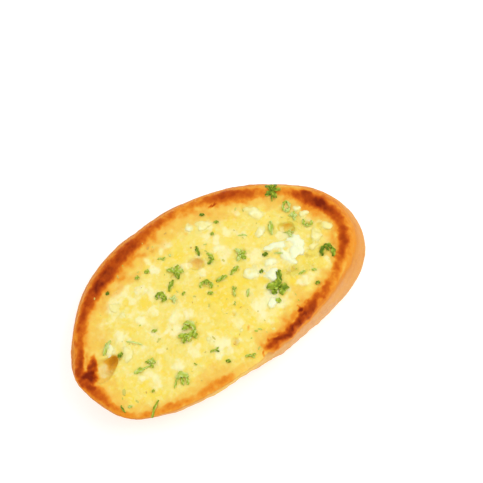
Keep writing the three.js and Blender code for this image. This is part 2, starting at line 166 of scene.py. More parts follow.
# Minced garlic: x, y, length, width, height, turn, and whiteness from 0 to 1
GARLIC = (
    (36, -4.9, 8.4, 6, 2.2, 70, 1), (30.8, -0.8, 9.6, 3.2, 1.6, -36, 0.95),
    (30.4, -6.2, 8.6, 3, 1.5, -84, 0.9), (24.4, -4.6, 4.8, 4.2, 1.6, 52, 0.75),
    (21.8, -7.7, 5.4, 4.6, 1.6, -30, 0.95), (17.6, -3.3, 5.6, 5.4, 1.1, 0, 0.7),
    (44, -6.1, 6, 3.6, 1.5, 45, 0.25), (40.8, -9, 3, 2.2, 1.1, 10, 0.1),
    (50.2, -5.3, 5, 3.4, 1.2, -25, 0.1), (33, 14.8, 6.6, 3.8, 1.3, -62, 0.4),
    (29.6, 7.7, 5.6, 3, 1.3, 20, 0.55), (46, 7, 3.4, 2.2, 1.1, -38, 0.5),
    (46.5, 3.2, 4.2, 2.8, 1.1, -38, 0.35), (15.4, -16.4, 4.2, 3.4, 1.2, 50, 0.85),
    (-40.4, 5.7, 3.6, 3.2, 1.3, 35, 0.55), (-36.2, 1, 4.8, 3.4, 1.3, 50, 0.45),
    (-29.6, 17.8, 3.8, 3.2, 1, -38, 0.35), (-29, 13.4, 2.9, 2.8, 1, -38, 0.5),
    (15.4, 23, 6.6, 3.6, 1.1, -34, 0.45), (10.3, 25.5, 3.2, 3.1, 1.1, 0, 0.55),
)
# Soft creamy lumps in the butter: x, y, length, width, height, turn
CREAM_LUMPS = (
    (-15.2, 1.2, 6.6, 4.6, 0.9, 40), (-10.4, -1.2, 5.2, 4.4, 0.8, 20), (-25.2, 7.4, 6, 3.4, 0.9, -60),
    (-9.7, 20.3, 4, 3.6, 0.6, -38), (-17.9, 17, 5.2, 3, 0.9, -38), (0.3, 14.4, 3.8, 3, 1, -20),
    (3.2, 8.8, 4.2, 3.4, 0.7, -38), (-19.3, 7.8, 3.8, 3.2, 0.6, 40), (29.1, -16.9, 5.8, 4.2, 0.7, -38),
    (-25, -13.4, 4.8, 4.6, 0.7, 40), (-37.6, -9.8, 5, 3, 0.6, -38), (-34.8, 7.5, 5, 3, 0.9, 50),
    (14, 11.7, 4.6, 3, 0.6, -38),
)
# Parsley: x, y, length, width, turn, form, and shade from 0, dark, to 1, pale
PARSLEY = (
    (43.8, 17.6, 6.2, 7, -38, "sprig", 0.2), (43.7, 9.6, 3.2, 4.4, -38, "ring", 0.55),
    (43, 5, 3.2, 4, -38, "tuft", 0.75), (45.5, -0.4, 3.4, 2.8, 142, "arch", 0.55),
    (37.3, 0.9, 3.8, 4.6, -38, "tuft", 0.7), (33.7, 6.4, 5.4, 2.2, 52, "strip", 0.6),
    (25.1, -0.4, 2.4, 2, -38, "bead", 0.15), (28.9, -3.2, 3.2, 1, -50, "stem", 0.7),
    (43.5, -13.6, 4.9, 5, -38, "arch", 0.1), (18, 5.4, 5.3, 5.2, -80, "tuft", 0.65),
    (30.8, -14.4, 2.8, 1.2, -15, "strip", 0.5), (34.9, -16.2, 2, 0.9, -38, "bead", 0.4),
    (32.3, -21.1, 1.8, 2, -38, "bead", 0.25), (19.5, -5, 1.5, 2.4, -38, "bead", 0.2),
    (23.6, -10.5, 5.2, 2.8, 52, "strip", 0.15), (20.3, -13.2, 8, 5.6, -38, "clump", 0.28),
    (17, -17.5, 2.3, 2.8, -38, "bead", 0.55), (8.7, 11.1, 3, 4.3, -38, "chevron", 0.35),
    (7.1, 16.1, 3.8, 1.7, 66, "strip", 0.25), (-4.4, 14.8, 6.1, 5.6, -38, "tuft", 0.4),
    (-8.7, 11.5, 4.6, 1.9, 30, "strip", 0.15), (-14.2, 10.2, 3.7, 4, -38, "hook", 0.35),
    (-11.4, 6.8, 2.6, 3.4, -38, "tuft", 0.85), (1.1, 3.9, 4.4, 3, -38, "arch", 0.42),
    (0.2, 0.3, 2.1, 1.8, -38, "bead", 0.5), (6.9, 2, 4.4, 2.2, -8, "strip", 0.4),
    (12.6, 1.7, 4.6, 1.9, 10, "strip", 0.32), (7.4, -4.5, 4, 1.5, 52, "twig", 0.55),
    (10.9, -8, 3.2, 1.2, 40, "strip", 0.75), (-15.3, -6.3, 6.8, 8, -38, "ess", 0.5),
    (-32.2, -7, 3.7, 4, -38, "tuft", 0.45), (-37, -7, 3.8, 2.8, -15, "strip", 0.5),
    (-34.6, -7.4, 3.4, 0.9, -10, "stem", 0.55), (-27.8, -19, 5.2, 5.4, -38, "umbrella", 0.6),
    (-40.5, 7.1, 6, 1.7, 30, "strip", 0.58), (-38.6, 1.7, 2.2, 2.8, -38, "bead", 0.2),
    (-32, 2.4, 6, 0.6, -51, "stem", 0.95), (-12, -17.5, 3.4, 1.8, -20, "twig", 0.3),
    (-41.1, -21.2, 7, 1.1, 34, "stem", 0.45), (-49.5, -14.4, 3, 1.3, 82, "stem", 0),
    (-3.8, -27, 3.8, 2, -38, "twig", 0.5), (-11, -23.6, 2, 1.5, -60, "bead", 0.35),
    (17.4, 26.6, 2.2, 1.2, -38, "bead", 0.1), (-28.2, 23.4, 1.3, 2.2, -38, "bead", 0),
    (-12.2, 21.2, 1.9, 2.2, -38, "bead", 0.35), (-16.4, 21.4, 1.7, 2.2, -38, "bead", 0.3),
    (-4.9, 22.1, 2.7, 1.5, -38, "twig", 0.5), (19.7, 21.1, 2, 1.4, -38, "bead", 0.4),
    (15.5, 18.2, 1.2, 2.2, -38, "bead", 0.4), (23.7, 10.7, 3.4, 1.2, -38, "stem", 0.6),
    (-23.9, 1.6, 2.3, 1.3, -38, "bead", 0.6), (-47.2, -15.2, 1.7, 1.2, -38, "bead", 0.75),
    (-37.7, -15.8, 1, 1.8, -38, "bead", 0.45),
)
# Strokes of each parsley form, in shares of its length and width: start, bend, end, and breadth
LEAF_FORMS = {
    "tuft": (
        (0.12, -0.35, 0, -0.1, -0.05, 0, 0.16), (-0.02, 0, -0.25, 0.12, -0.5, 0.1, 0.24),
        (0, 0.02, -0.12, 0.1, -0.2, 0.34, 0.22), (0.05, 0, 0.1, 0.25, 0.18, 0.48, 0.28),
        (0.08, -0.02, 0.3, 0.1, 0.5, 0.02, 0.3), (0.05, -0.05, 0.2, -0.25, 0.2, -0.48, 0.26),
    ),
    "clump": (
        (-0.48, -0.12, -0.2, 0.1, 0.05, -0.05, 0.44), (0, -0.08, 0.25, 0.1, 0.48, -0.1, 0.46),
        (-0.1, -0.1, -0.15, -0.35, -0.22, -0.5, 0.32), (0.1, -0.1, 0.22, -0.3, 0.16, -0.5, 0.34),
        (0, 0, 0, 0.25, 0.04, 0.5, 0.34), (-0.1, 0, -0.2, 0.2, -0.22, 0.36, 0.26),
    ),
    "sprig": (
        (0, 0, -0.2, 0.25, -0.42, 0.42, 0.26), (0, 0.05, 0.1, 0.3, 0.28, 0.45, 0.24),
        (0, 0, 0.25, 0.05, 0.5, 0.08, 0.22), (0, 0, -0.25, -0.1, -0.4, -0.25, 0.28),
        (0, -0.05, 0.1, -0.25, 0.2, -0.4, 0.26), (0, 0, -0.05, -0.3, -0.05, -0.55, 0.1),
        (0, 0.05, -0.1, 0.2, -0.08, 0.42, 0.2),
    ),
    "ring": (
        (-0.35, 0.1, -0.3, 0.5, 0.1, 0.45, 0.3), (0.1, 0.45, 0.45, 0.3, 0.35, -0.1, 0.28),
        (0.35, -0.1, 0.2, -0.5, -0.1, -0.45, 0.36), (-0.1, -0.45, -0.45, -0.3, -0.35, 0.1, 0.28),
    ),
    "arch": (
        (-0.4, -0.4, -0.5, 0.1, -0.2, 0.35, 0.34), (-0.25, 0.33, 0.1, 0.6, 0.35, 0.25, 0.34),
        (0.33, 0.28, 0.5, 0, 0.4, -0.45, 0.36), (-0.1, 0.3, 0.05, 0.15, 0.1, 0, 0.2),
    ),
    "hook": (
        (-0.4, 0.25, 0, 0.55, 0.35, 0.1, 0.38), (0.35, 0.15, 0.5, -0.2, 0.05, -0.42, 0.36),
        (-0.4, 0.3, -0.5, 0, -0.35, -0.2, 0.28), (-0.1, 0.2, 0, 0.05, 0.1, -0.1, 0.26),
    ),
    "chevron": (
        (-0.4, 0.5, 0.3, 0.35, 0.4, 0, 0.32), (0.4, 0.05, 0.25, -0.3, -0.3, -0.5, 0.34),
        (0.2, 0.1, 0.05, 0.05, -0.15, 0.1, 0.2),
    ),
    "strip": ((-0.5, -0.05, 0, 0.12, 0.5, 0.02, 0.46), (-0.1, 0, 0.05, 0.3, 0.25, 0.45, 0.24)),
    "ess": (
        (-0.2, 0.42, 0.3, 0.55, 0.35, 0.1, 0.26), (0.35, 0.12, 0.35, -0.1, 0, -0.15, 0.28),
        (0, -0.12, -0.3, -0.2, -0.48, -0.14, 0.25), (-0.1, -0.2, -0.2, -0.4, -0.15, -0.5, 0.22),
        (0.12, 0.25, -0.1, 0.25, -0.25, 0.12, 0.24), (0.33, 0.05, 0.45, -0.15, 0.42, -0.32, 0.22),
        (0.1, -0.15, 0.1, -0.3, 0.02, -0.4, 0.2),
    ),
    "umbrella": (
        (-0.35, 0.15, 0, 0.6, 0.4, 0.2, 0.42), (-0.3, 0.15, -0.4, -0.15, -0.5, -0.5, 0.12),
        (0, 0.25, 0.05, -0.05, 0.1, -0.3, 0.2), (0.3, 0.2, 0.45, 0, 0.4, -0.3, 0.2),
    ),
    "stem": ((-0.5, -0.1, 0.1, 0.35, 0.5, -0.1, 0.34),),
    "twig": (
        (-0.5, -0.15, -0.2, 0.2, 0.1, 0, 0.36), (0.1, 0, 0.3, 0.3, 0.5, 0.3, 0.28),
        (0.05, 0, 0.2, -0.35, 0.4, -0.45, 0.24),
    ),
    "bead": ((-0.42, -0.12, 0, 0.15, 0.45, 0.08, 0.72), (-0.1, 0, 0.1, 0.3, 0.2, 0.5, 0.3)),
}
# Faint dabs of herb in the butter: x, y, length, and kind from 0, green, to 1, toasted brown
HERB_DABS = (
    (39.6, 7.3, 1.3, 0.3), (12.3, 7.4, 1.9, 0.4), (-4.9, 3, 1.3, 0.4), (-2.9, -2.9, 1.9, 0.45),
    (-9.4, -13.7, 1.6, 0.6), (3.8, -21.2, 1.4, 0.1), (-44.1, -15.1, 1.6, 0.45), (-45.5, -9.4, 2.4, 0.5),
    (-24.7, -1.9, 2, 0.45), (28.5, 20.8, 1.6, 0.45), (30.5, 18.5, 1.4, 0.35), (-21.3, 26.5, 1.4, 0.8),
    (-6.1, 28.7, 1.5, 0.9), (2.6, 29.4, 1.4, 0.9), (0.3, -26.8, 1.9, 0.2),
)

# Rules for places that are spread over the face: how many, their reach as a share of the radius, least and
# most length in mm, seed, and clear space in mm
Spread = namedtuple("Spread", "count reach least most seed clear")
SMALL_HOLES = Spread(12, 0.8, 1.8, 3.4, 11, 1.5)
BASE_HOLES = Spread(10, 0.8, 2.5, 6, 29, 8)
GARLIC_BITS = Spread(16, 0.82, 1.6, 2.6, 41, 1)
PARSLEY_FLECKS = Spread(22, 0.84, 1.2, 2, 67, 1.2)
HERB_SPECKS = Spread(70, 0.93, 0.4, 1.1, 83, 0.2)
# Height of small garlic bits, spacing of the garlic's points, and thickness of a leaf, in mm
BIT_HEIGHT = 0.8
GARLIC_GRAIN = 0.3
LEAF_THICKNESS = 0.16
# Seeds of the toppings' random draws
GARLIC_SEED = 5
LEAF_SEED = 17
FLECK_SEED = 23
# Lamps: place and size in metres
KEY_LAMP = ((0.25, -0.2, 0.55), 0.35)
FILL_LAMP = ((-0.35, 0.25, 0.4), 0.3)
# Width of the camera's sensor in mm
SENSOR_WIDTH = 36
# What is stored at each point of the bread for its material; the two masks of the air holes hold painted
# shade
BREAD_MASKS = (
    "toast", "butter", "cream", "herbal", "crust", "base", "tan", "hollow", "buttered", "lower", "streak",
)


def number_property(name, description, value, **kind):
    return FloatProperty(name=name, description=description, default=value, **kind)


def length_property(name, description, size):
    """A length that is stated in mm."""
    return number_property(name, description, size * MM, unit="LENGTH")


def angle_property(name, description, degrees):
    """An angle that is stated in degrees."""
    return number_property(name, description, math.radians(degrees), subtype="ANGLE")


def place_property(name, description, place):
    """A place or shift that is stated in mm."""
    return FloatVectorProperty(
        name=name, description=description, default=[v * MM for v in place],
        size=len(place), subtype="XYZ", unit="LENGTH",
    )


def colour_property(name, description, rgb):
    """A colour that is stated as it shows on a screen, from 0 to 255."""
    return FloatVectorProperty(
        name=name, description=description, default=[v / 255 for v in rgb],
        size=3, min=0, max=1, subtype="COLOR_GAMMA",
    )


class LoafSettings(bpy.types.PropertyGroup):
    """Sizes of the bread"""

    half_length: length_property("Half length", "From the middle of the cut face to its ends", 55.9)
    crown_rise: length_property("Crown rise", "From the widest line to the domed top", 35.6)
    base_drop: length_property("Base drop", "From the widest line to the flatter base", 30.2)
    crown_power: number_property("Crown power", "Squareness of the top, 2 is an ellipse", 1.76)
    base_power: number_property("Base power", "Squareness of the base, 2 is an ellipse", 2.56)
    thickness: length_property("Thickness", "From one cut face to the other", 18)
    slant: place_property("Slant", "How far the lower face lies from the upper one", (8.8, 4.7))
    twist: angle_property("Twist", "Turn of the lower face against the upper one", -9.5)
    bulge: length_property("Bulge", "Swell of the crust half way down", 2.6)
    edge: length_property("Edge", "Rounding of the edges", 1.3)
    grain: length_property("Grain", "Spacing of the surface's points", 0.47)
    sink: length_property("Sink", "How far the crumb sinks in the rim", 0.9)
    rim_width: length_property("Rim width", "Width of the raised rim", 6.5)


class BreadColours(bpy.types.PropertyGroup):
    """Colours of the bread"""

    crumb: colour_property("Crumb", "Buttered crumb", (241, 224, 127))
    butter: colour_property("Butter", "Crumb soaked with butter", (243, 215, 73))
    herbal: colour_property("Herbal", "Butter tinted by the herbs", (222, 208, 92))
    mottle: colour_property("Mottle", "Darker dabs in the tinted butter", (210, 178, 64))
    cream: colour_property("Cream", "Pale lumps of butter and garlic", (246, 238, 178))
    gold: colour_property("Gold", "Lightly toasted crumb", (239, 192, 80))
    orange: colour_property("Orange", "Toasted crumb", (232, 146, 38))
    rust: colour_property("Rust", "Toasted rim", (208, 104, 18))
    brown: colour_property("Brown", "Well toasted rim", (180, 72, 8))
    char: colour_property("Char", "Darkest toast", (124, 34, 4))
    crown: colour_property("Crown", "Crust of the domed top", (210, 126, 40))
    base: colour_property("Base", "Crust of the flatter base", (224, 167, 111))
    crust_pale: colour_property("Pale crust", "Lighter patches of the crust", (230, 162, 74))
    crust_dark: colour_property("Dark crust", "Browner patches of the crust", (188, 102, 32))
    flour: colour_property("Flour", "Fine floury specks on the crust", (240, 192, 124))
    # Painted shade inside the air holes: tan in the shallow ones, amber where the shade begins and golden
    # brown where it is deepest.
    amber: colour_property("Amber", "Golden wall of an air hole", (230, 174, 50))
    dish: colour_property("Dish", "Inside of a shallow air hole", (228, 184, 94))
    hollow: colour_property("Hollow", "Inside of a deep air hole", (206, 142, 26))


class ToppingColours(bpy.types.PropertyGroup):
    """Colours of the toppings"""

    garlic: colour_property("Garlic", "Minced garlic", (242, 244, 200))
    garlic_butter: colour_property("Garlic in butter", "Garlic where butter covers it", (244, 231, 150))
    film: colour_property("Film", "Butter that runs up the garlic", (243, 223, 120))
    # The dark and pale leaf colours are darker and paler leaves, and also painted shade where a lobe's
    # crinkle dips and a painted highlight along its edges.
    leaf_dark_and_fold_shade: colour_property("Dark leaf", "Folds and undersides of the parsley", (94, 122, 10))
    leaf: colour_property("Leaf", "Parsley", (172, 190, 48))
    leaf_pale_and_edge_highlight: colour_property("Pale leaf", "Thin edges of the parsley", (222, 234, 150))
    speck_green: colour_property("Green speck", "Dry herb specks", (206, 196, 88))
    speck_brown: colour_property("Brown speck", "Toasted specks", (214, 168, 72))


class StageSettings(bpy.types.PropertyGroup):
    """Camera, lights and floor"""

    lens: number_property("Lens", "Focal length on a 36 mm sensor", 85)
    distance: length_property("Distance", "From the camera to its aim", 414)
    azimuth: angle_property("Azimuth", "Turn of the camera round the slice", -39.5)
    elevation: angle_property("Elevation", "Height of the camera", 64)
    aim: place_property("Aim", "Point that the camera looks at", (12.81, 4.08, 18))
    floor: colour_property("Floor", "Pale floor", (214, 214, 213))
    floor_glow: number_property("Floor glow", "Light that the floor gives off", 0.75)
    sky_strength: number_property("Sky", "Strength of the light from all round", 0.82)
    key_power: number_property("Key", "Power of the large lamp", 1.15, unit="POWER")
    fill_power: number_property("Fill", "Power of the small lamp", 0.3, unit="POWER")


GROUPS = {
    "slice_loaf": LoafSettings,
    "slice_colours": BreadColours,
    "slice_toppings": ToppingColours,
    "slice_stage": StageSettings,
}


# Numbers and noise


def smoothstep(low, high, value):
    share = np.clip((value - low) / (high - low), 0, 1)
    return share * share * (3 - 2 * share)


def stream(seed):
    """A repeatable run of numbers from 0 to 1."""
    state = seed
    while True:
        state = (state * 1664525 + 1013904223) % 2**32
        yield state / 2**32


def lumps(points, size, octaves=1):
    """Smooth lumps of a size in mm at points in metres, from about -1 to 1."""
    scaled = np.asarray(points) / (size * MM)
    return np.array([noise.fractal(Vector(p), 1.0, 2.0, octaves) for p in scaled])


def turned(x, y, degrees):
    angle = math.radians(degrees)
    c, s = math.cos(angle), math.sin(angle)
    return x * c - y * s, x * s + y * c


def soft_ellipse(flat, x, y, length, width, turn, core=0.35):
    """1 in the core of an ellipse on the cut face and 0 from its edge outwards. flat is in mm."""
    u, v = turned(flat[:, 0] - x, flat[:, 1] - y, -turn)
    return 1 - smoothstep(core, 1.0, np.hypot(2 * u / length, 2 * v / width))


def strongest(flat, spots, core=0.35):
    """The strongest of many spots, each x, y, length, width, turn, strength."""
    return np.max([spot[5] * soft_ellipse(flat, *spot[:5], core) for spot in spots], axis=0)


def summed(flat, spots):
    """The sum of many spots, each x, y, length, width, turn, strength."""
    return np.sum([spot[5] * soft_ellipse(flat, *spot[:5]) for spot in spots], axis=0)


# The loaf's form


def nearness(angle, at, span):
    """1 at an angle in degrees and less away from it, with the given span."""
    off = np.angle(np.exp(1j * (angle - math.radians(at))))
    return np.exp(-(off / math.radians(span)) ** 2)


def oval_radius(angle):
    """From the middle of the oval to its edge, in metres, for an array of angles."""
    loaf = bpy.context.scene.slice_loaf
    crown = np.sin(angle) > 0
    side = np.where(crown, loaf.crown_rise, loaf.base_drop)
    power = np.where(crown, loaf.crown_power, loaf.base_power)
    along = (np.abs(np.cos(angle)) / loaf.half_length) ** power
    across = (np.abs(np.sin(angle)) / side) ** power
    waves = sum(share * np.cos(count * angle - math.radians(turn)) for count, share, turn in OVAL_WAVES)
    corners = sum(out * MM * nearness(angle, at, span) for at, span, out in OVAL_CORNERS)
    return (along + across) ** (-1 / power) * (1 + waves) + corners


def rim_points(angle, out):
    """Points of the oval's edge, moved out square to it."""
    def edge(a):
        return np.stack([np.cos(a), np.sin(a)], 1) * oval_radius(a)[:, None]

    step = 0.01
    along = edge(angle + step) - edge(angle - step)
    along /= np.linalg.norm(along, axis=1)[:, None]
    return edge(angle) + out * np.stack([along[:, 1], -along[:, 0]], 1)


def spin(flat, angle):
    """Turns flat points about the origin by an angle, or by one angle for each point."""
    c, s = np.cos(angle), np.sin(angle)
    return np.stack([flat[:, 0] * c - flat[:, 1] * s, flat[:, 0] * s + flat[:, 1] * c], 1)


def leaned(flat, depth):
    """Points of the oval carried to their place in the slanted slice. depth is 0 above and 1 below."""
    loaf = bpy.context.scene.slice_loaf
    return spin(flat, loaf.twist * depth) - np.outer(1 - depth, loaf.slant)


LoafPlace = namedtuple("LoafPlace", "flat depth angle to_rim")


def loaf_place(points):
    """Where points of the slice are in the loaf: in the oval, in depth, and from the rim, in metres."""
    loaf = bpy.context.scene.slice_loaf
    depth = np.clip(1 - points[:, 2] / loaf.thickness, 0, 1)
    flat = spin(points[:, :2] + np.outer(1 - depth, loaf.slant), -loaf.twist * depth)
    angle = np.arctan2(flat[:, 1], flat[:, 0])
    radius = oval_radius(angle)
    step = 0.02
    slope = (oval_radius(angle + step) - oval_radius(angle - step)) / (2 * step)
    square = radius / np.hypot(radius, slope)
    return LoafPlace(flat, depth, angle, (radius - np.hypot(*flat.T)) * square)


def spread_places(rule, taken):
    """Places on a sunflower spiral, in mm, clear of those taken: x, y, length, slimness, turn."""
    draw = stream(rule.seed)
    places = []
    for n in range(rule.count):
        angle = n * GOLDEN_TURN + 0.7 * next(draw)
        radius = rule.reach * math.sqrt((n + 0.5) / rule.count) * oval_radius(np.array([angle]))[0] / MM
        x, y = radius * math.cos(angle), radius * math.sin(angle)
        length = rule.least + (rule.most - rule.least) * next(draw)
        slim, turn = next(draw), 360 * next(draw)
        if all(math.hypot(t[0] - x, t[1] - y) > rule.clear + (t[2] + length) / 2 for t in taken):
            places.append((x, y, length, slim, turn))
    return places


def small_holes():
    taken = [*HOLES, *GARLIC, *CREAM_LUMPS, *PARSLEY]
    return [
        (x, y, length, length * (0.6 + 0.3 * slim), 0.45 * length, turn)
        for x, y, length, slim, turn in spread_places(SMALL_HOLES, taken)
    ]


def garlic_bits():
    taken = [*HOLES, *small_holes(), *GARLIC, *CREAM_LUMPS, *PARSLEY]
    return [
        (x, y, length, length * (0.6 + 0.35 * slim), BIT_HEIGHT, turn, 0.1 + 0.5 * slim)
        for x, y, length, slim, turn in spread_places(GARLIC_BITS, taken)
    ]


def parsley_flecks():
    taken = [*HOLES, *small_holes(), *GARLIC, *CREAM_LUMPS, *PARSLEY, *garlic_bits()]
    forms = ("bead", "twig", "stem")
    return [
        (x, y, length, length * (0.45 + 0.35 * slim), turn, forms[n % 3], 0.45 + 0.4 * slim)
        for n, (x, y, length, slim, turn) in enumerate(spread_places(PARSLEY_FLECKS, taken))
    ]


# Mesh helpers


def deselect():
    bpy.ops.object.select_all(action="DESELECT")


def points_of(mesh, field="vertices", key="co"):
    data = getattr(mesh, field)
    values = np.empty(len(data) * 3, np.float32)
    data.foreach_get(key, values)
    return values.reshape(-1, 3).astype(float)


def set_points(mesh, points):
    mesh.vertices.foreach_set("co", points.astype(np.float32).ravel())
    mesh.update()


def add_mask(mesh, name, values):
    mask = mesh.attributes.new(name, "FLOAT", "POINT")
    mask.data.foreach_set("value", np.asarray(values, np.float32))


def apply_modifier(piece, kind, **settings):
    bpy.context.view_layer.objects.active = piece
    modifier = piece.modifiers.new(kind.title(), kind)
    for key, value in settings.items():
        setattr(modifier, key, value)
    bpy.ops.object.modifier_apply(modifier=modifier.name)


def joined_mesh(name, parts, masks=()):
    """One object from many shapes, each a pair of points and faces. A mask has one value for each point."""
    mesh = bpy.data.meshes.new(name)
    offset, points, faces = 0, [], []
    for shape_points, shape_faces in parts:
        points.append(shape_points)
        faces.extend([[corner + offset for corner in face] for face in shape_faces])
        offset += len(shape_points)
    mesh.from_pydata(np.concatenate(points).tolist(), [], faces)
    mesh.update()
    for mask, values in masks:
        add_mask(mesh, mask, np.concatenate(values))
    piece = bpy.data.objects.new(name, mesh)
    bpy.context.scene.collection.objects.link(piece)
    return piece


def take_shape(template):
    """The points and faces of a modelled template, which is then removed."""
    shape = points_of(template.data), [list(face.vertices) for face in template.data.polygons]
    mesh = template.data
    bpy.data.objects.remove(template)
    bpy.data.meshes.remove(mesh)
    return shape


def finish_piece(piece, material):
    """Gives a piece its material and ties it to the slice."""
    piece.data.materials.clear()
    piece.data.materials.append(material)
    deselect()
    piece.select_set(True)
    bpy.context.view_layer.objects.active = piece
    bpy.ops.object.shade_smooth()
    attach(piece, BODY)
    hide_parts(NODE)


def surface_heights(flat, names=("bread",)):
    """Height of the named pieces under places on the upper face, in metres."""
    graph = bpy.context.evaluated_depsgraph_get()
    trees = [BVHTree.FromObject(bpy.data.objects[name], graph) for name in names]
    loaf = bpy.context.scene.slice_loaf
    above = 2 * loaf.thickness
    places = leaned(np.asarray(flat, float), np.zeros(len(flat)))
    heights = []
    for x, y in places:
        hits = [tree.ray_cast(Vector((x, y, above)), Vector((0, 0, -1)))[0] for tree in trees]
        heights.append(max((hit.z for hit in hits if hit), default=loaf.thickness))
    return places, np.array(heights)


# Shader maths


def linear(colour):
    """A screen colour as the light that it stands for."""
    return [v / 12.92 if v <= 0.04045 else ((v + 0.055) / 1.055) ** 2.4 for v in colour] + [1.0]


def arithmetic(operation, flipped=False):
    """A method that joins a shader value and another one with a maths node."""
    def method(self, other):
        first, second = (other, self) if flipped else (self, other)
        return self.shader.node("ShaderNodeMath", {"operation": operation}, {0: first, 1: second})

    return method


class Value:
    """A shader socket that Python's operators work on."""

    __add__ = arithmetic("ADD")
    __radd__ = arithmetic("ADD", flipped=True)
    __sub__ = arithmetic("SUBTRACT")
    __rsub__ = arithmetic("SUBTRACT", flipped=True)
    __mul__ = arithmetic("MULTIPLY")

    def __init__(self, shader, socket):
        self.shader = shader
        self.socket = socket


class Shader:
    """A material whose nodes are written as expressions."""

    def __init__(self, name):
        self.material = bpy.data.materials.new(name)
        self.material.use_nodes = True
        self.tree = self.material.node_tree
        self.surface = self.tree.nodes["Principled BSDF"]
        self.place = self.node("ShaderNodeTexCoord", out="Object")

    def node(self, kind, settings=None, inputs=None, out=0):
        """A node of a kind, with its settings made first and then its sockets."""
        node = self.tree.nodes.new(kind)
        for key, value in (settings or {}).items():
            setattr(node, key, value)
        self.feed(node, inputs or {})
        return Value(self, node.outputs[out])

    def feed(self, node, inputs):
        for key, value in inputs.items():
            if isinstance(value, Value):
                self.tree.links.new(value.socket, node.inputs[key])
            else:
                node.inputs[key].default_value = value

    def mask(self, name):
        return self.node("ShaderNodeAttribute", {"attribute_name": name}, out="Fac")

    def grain(self, size, detail=2.0):
        """Noise from 0 to 1 with lumps of a size in mm."""
        inputs = {"Vector": self.place, "Scale": 1 / (size * MM), "Detail": detail}
        return self.node("ShaderNodeTexNoise", None, inputs, "Fac")

    def step(self, value, low, high):
        """0 below low and 1 above high, with a smooth change between."""
        inputs = {"Value": value, "From Min": low, "From Max": high}
        return self.node("ShaderNodeMapRange", {"interpolation_type": "SMOOTHSTEP"}, inputs)

    def mix(self, share, first, second):
        """A colour between two, by a share from 0 to 1."""
        settings = {"data_type": "RGBA", "clamp_factor": True}
        return self.node("ShaderNodeMix", settings, {"Factor": share, 6: first, 7: second}, 2)

    def ramp(self, value, stops):
        """A colour from stops of place and colour."""
        colour = self.node("ShaderNodeValToRGB", None, {"Fac": value})
        elements = colour.socket.node.color_ramp.elements
        while len(elements) < len(stops):
            elements.new(0.5)
        for element, (place, rgba) in zip(elements, stops):
            element.position = place
            element.color = rgba
        return colour

    def bump(self, height, distance, strength):
        inputs = {"Height": height, "Distance": distance * MM, "Strength": strength}
        return self.node("ShaderNodeBump", None, inputs, "Normal")

    def finish(self, **inputs):
        """Sets the surface's sockets, named with underscores for spaces."""
        self.feed(self.surface, {key.replace("_", " "): value for key, value in inputs.items()})
        return self.material


# The bread


def model_loaf():
    """A disc drawn up in layers, each pulled to the loaf's oval, slant, twist and bulge."""
    loaf = bpy.context.scene.slice_loaf
    layers, spokes = 10, 180
    deselect()
    bpy.ops.mesh.primitive_circle_add(vertices=spokes, radius=loaf.half_length, fill_type="NGON")
    bread = bpy.context.active_object
    bread.name = bread.data.name = "bread"
    bpy.ops.object.mode_set(mode="EDIT")
    bpy.ops.mesh.select_all(action="SELECT")
    for _ in range(layers):
        step = (0, 0, loaf.thickness / layers)
        bpy.ops.mesh.extrude_region_move(TRANSFORM_OT_translate={"value": step})
    bpy.ops.mesh.select_all(action="SELECT")
    bpy.ops.mesh.normals_make_consistent(inside=False)
    bpy.ops.object.mode_set(mode="OBJECT")
    points = points_of(bread.data)
    depth = 1 - points[:, 2] / loaf.thickness
    angle = np.arctan2(points[:, 1], points[:, 0])
    at, span, missing = BASE_FLAT
    swell = loaf.bulge * (1 - missing * nearness(angle, at, span)) * (1 - np.abs(2 * depth - 1) ** 3)
    flat = rim_points(angle, swell[:, None])
    points[:, :2] = leaned(flat, depth)
    set_points(bread.data, points)
    round_edges(bread)
    return bread


def round_edges(bread):
    """Rounds the rim of each cut face."""
    loaf = bpy.context.scene.slice_loaf
    near = loaf.thickness * 0.01
    ends = (0, loaf.thickness)
    heights = points_of(bread.data)[:, 2]
    for edge in bread.data.edges:
        pair = heights[list(edge.vertices)]
        edge.select = any(np.all(np.abs(pair - end) < near) for end in ends)
    bpy.ops.object.mode_set(mode="EDIT")
    bpy.ops.mesh.select_mode(type="EDGE")
    bpy.ops.mesh.bevel(offset=loaf.edge, segments=4, affect="EDGES")
    bpy.ops.object.mode_set(mode="OBJECT")


def add_hole(x, y, z, length, width, depth, turn):
    """One air hole as a lumpy bubble, in metres apart from its turn."""
    deselect()
    bpy.ops.mesh.primitive_ico_sphere_add(subdivisions=4, radius=1)
    bubble = bpy.context.active_object
    points = points_of(bubble.data)
    points *= 1 + 0.28 * lumps(points * MM + np.array([x, y, z]), 0.9, 2)[:, None]
    points *= np.array([length / 2, width / 2, depth])
    points[:, :2] = spin(points[:, :2], math.radians(turn))
    set_points(bubble.data, points + np.array([x, y, z]))
    return bubble


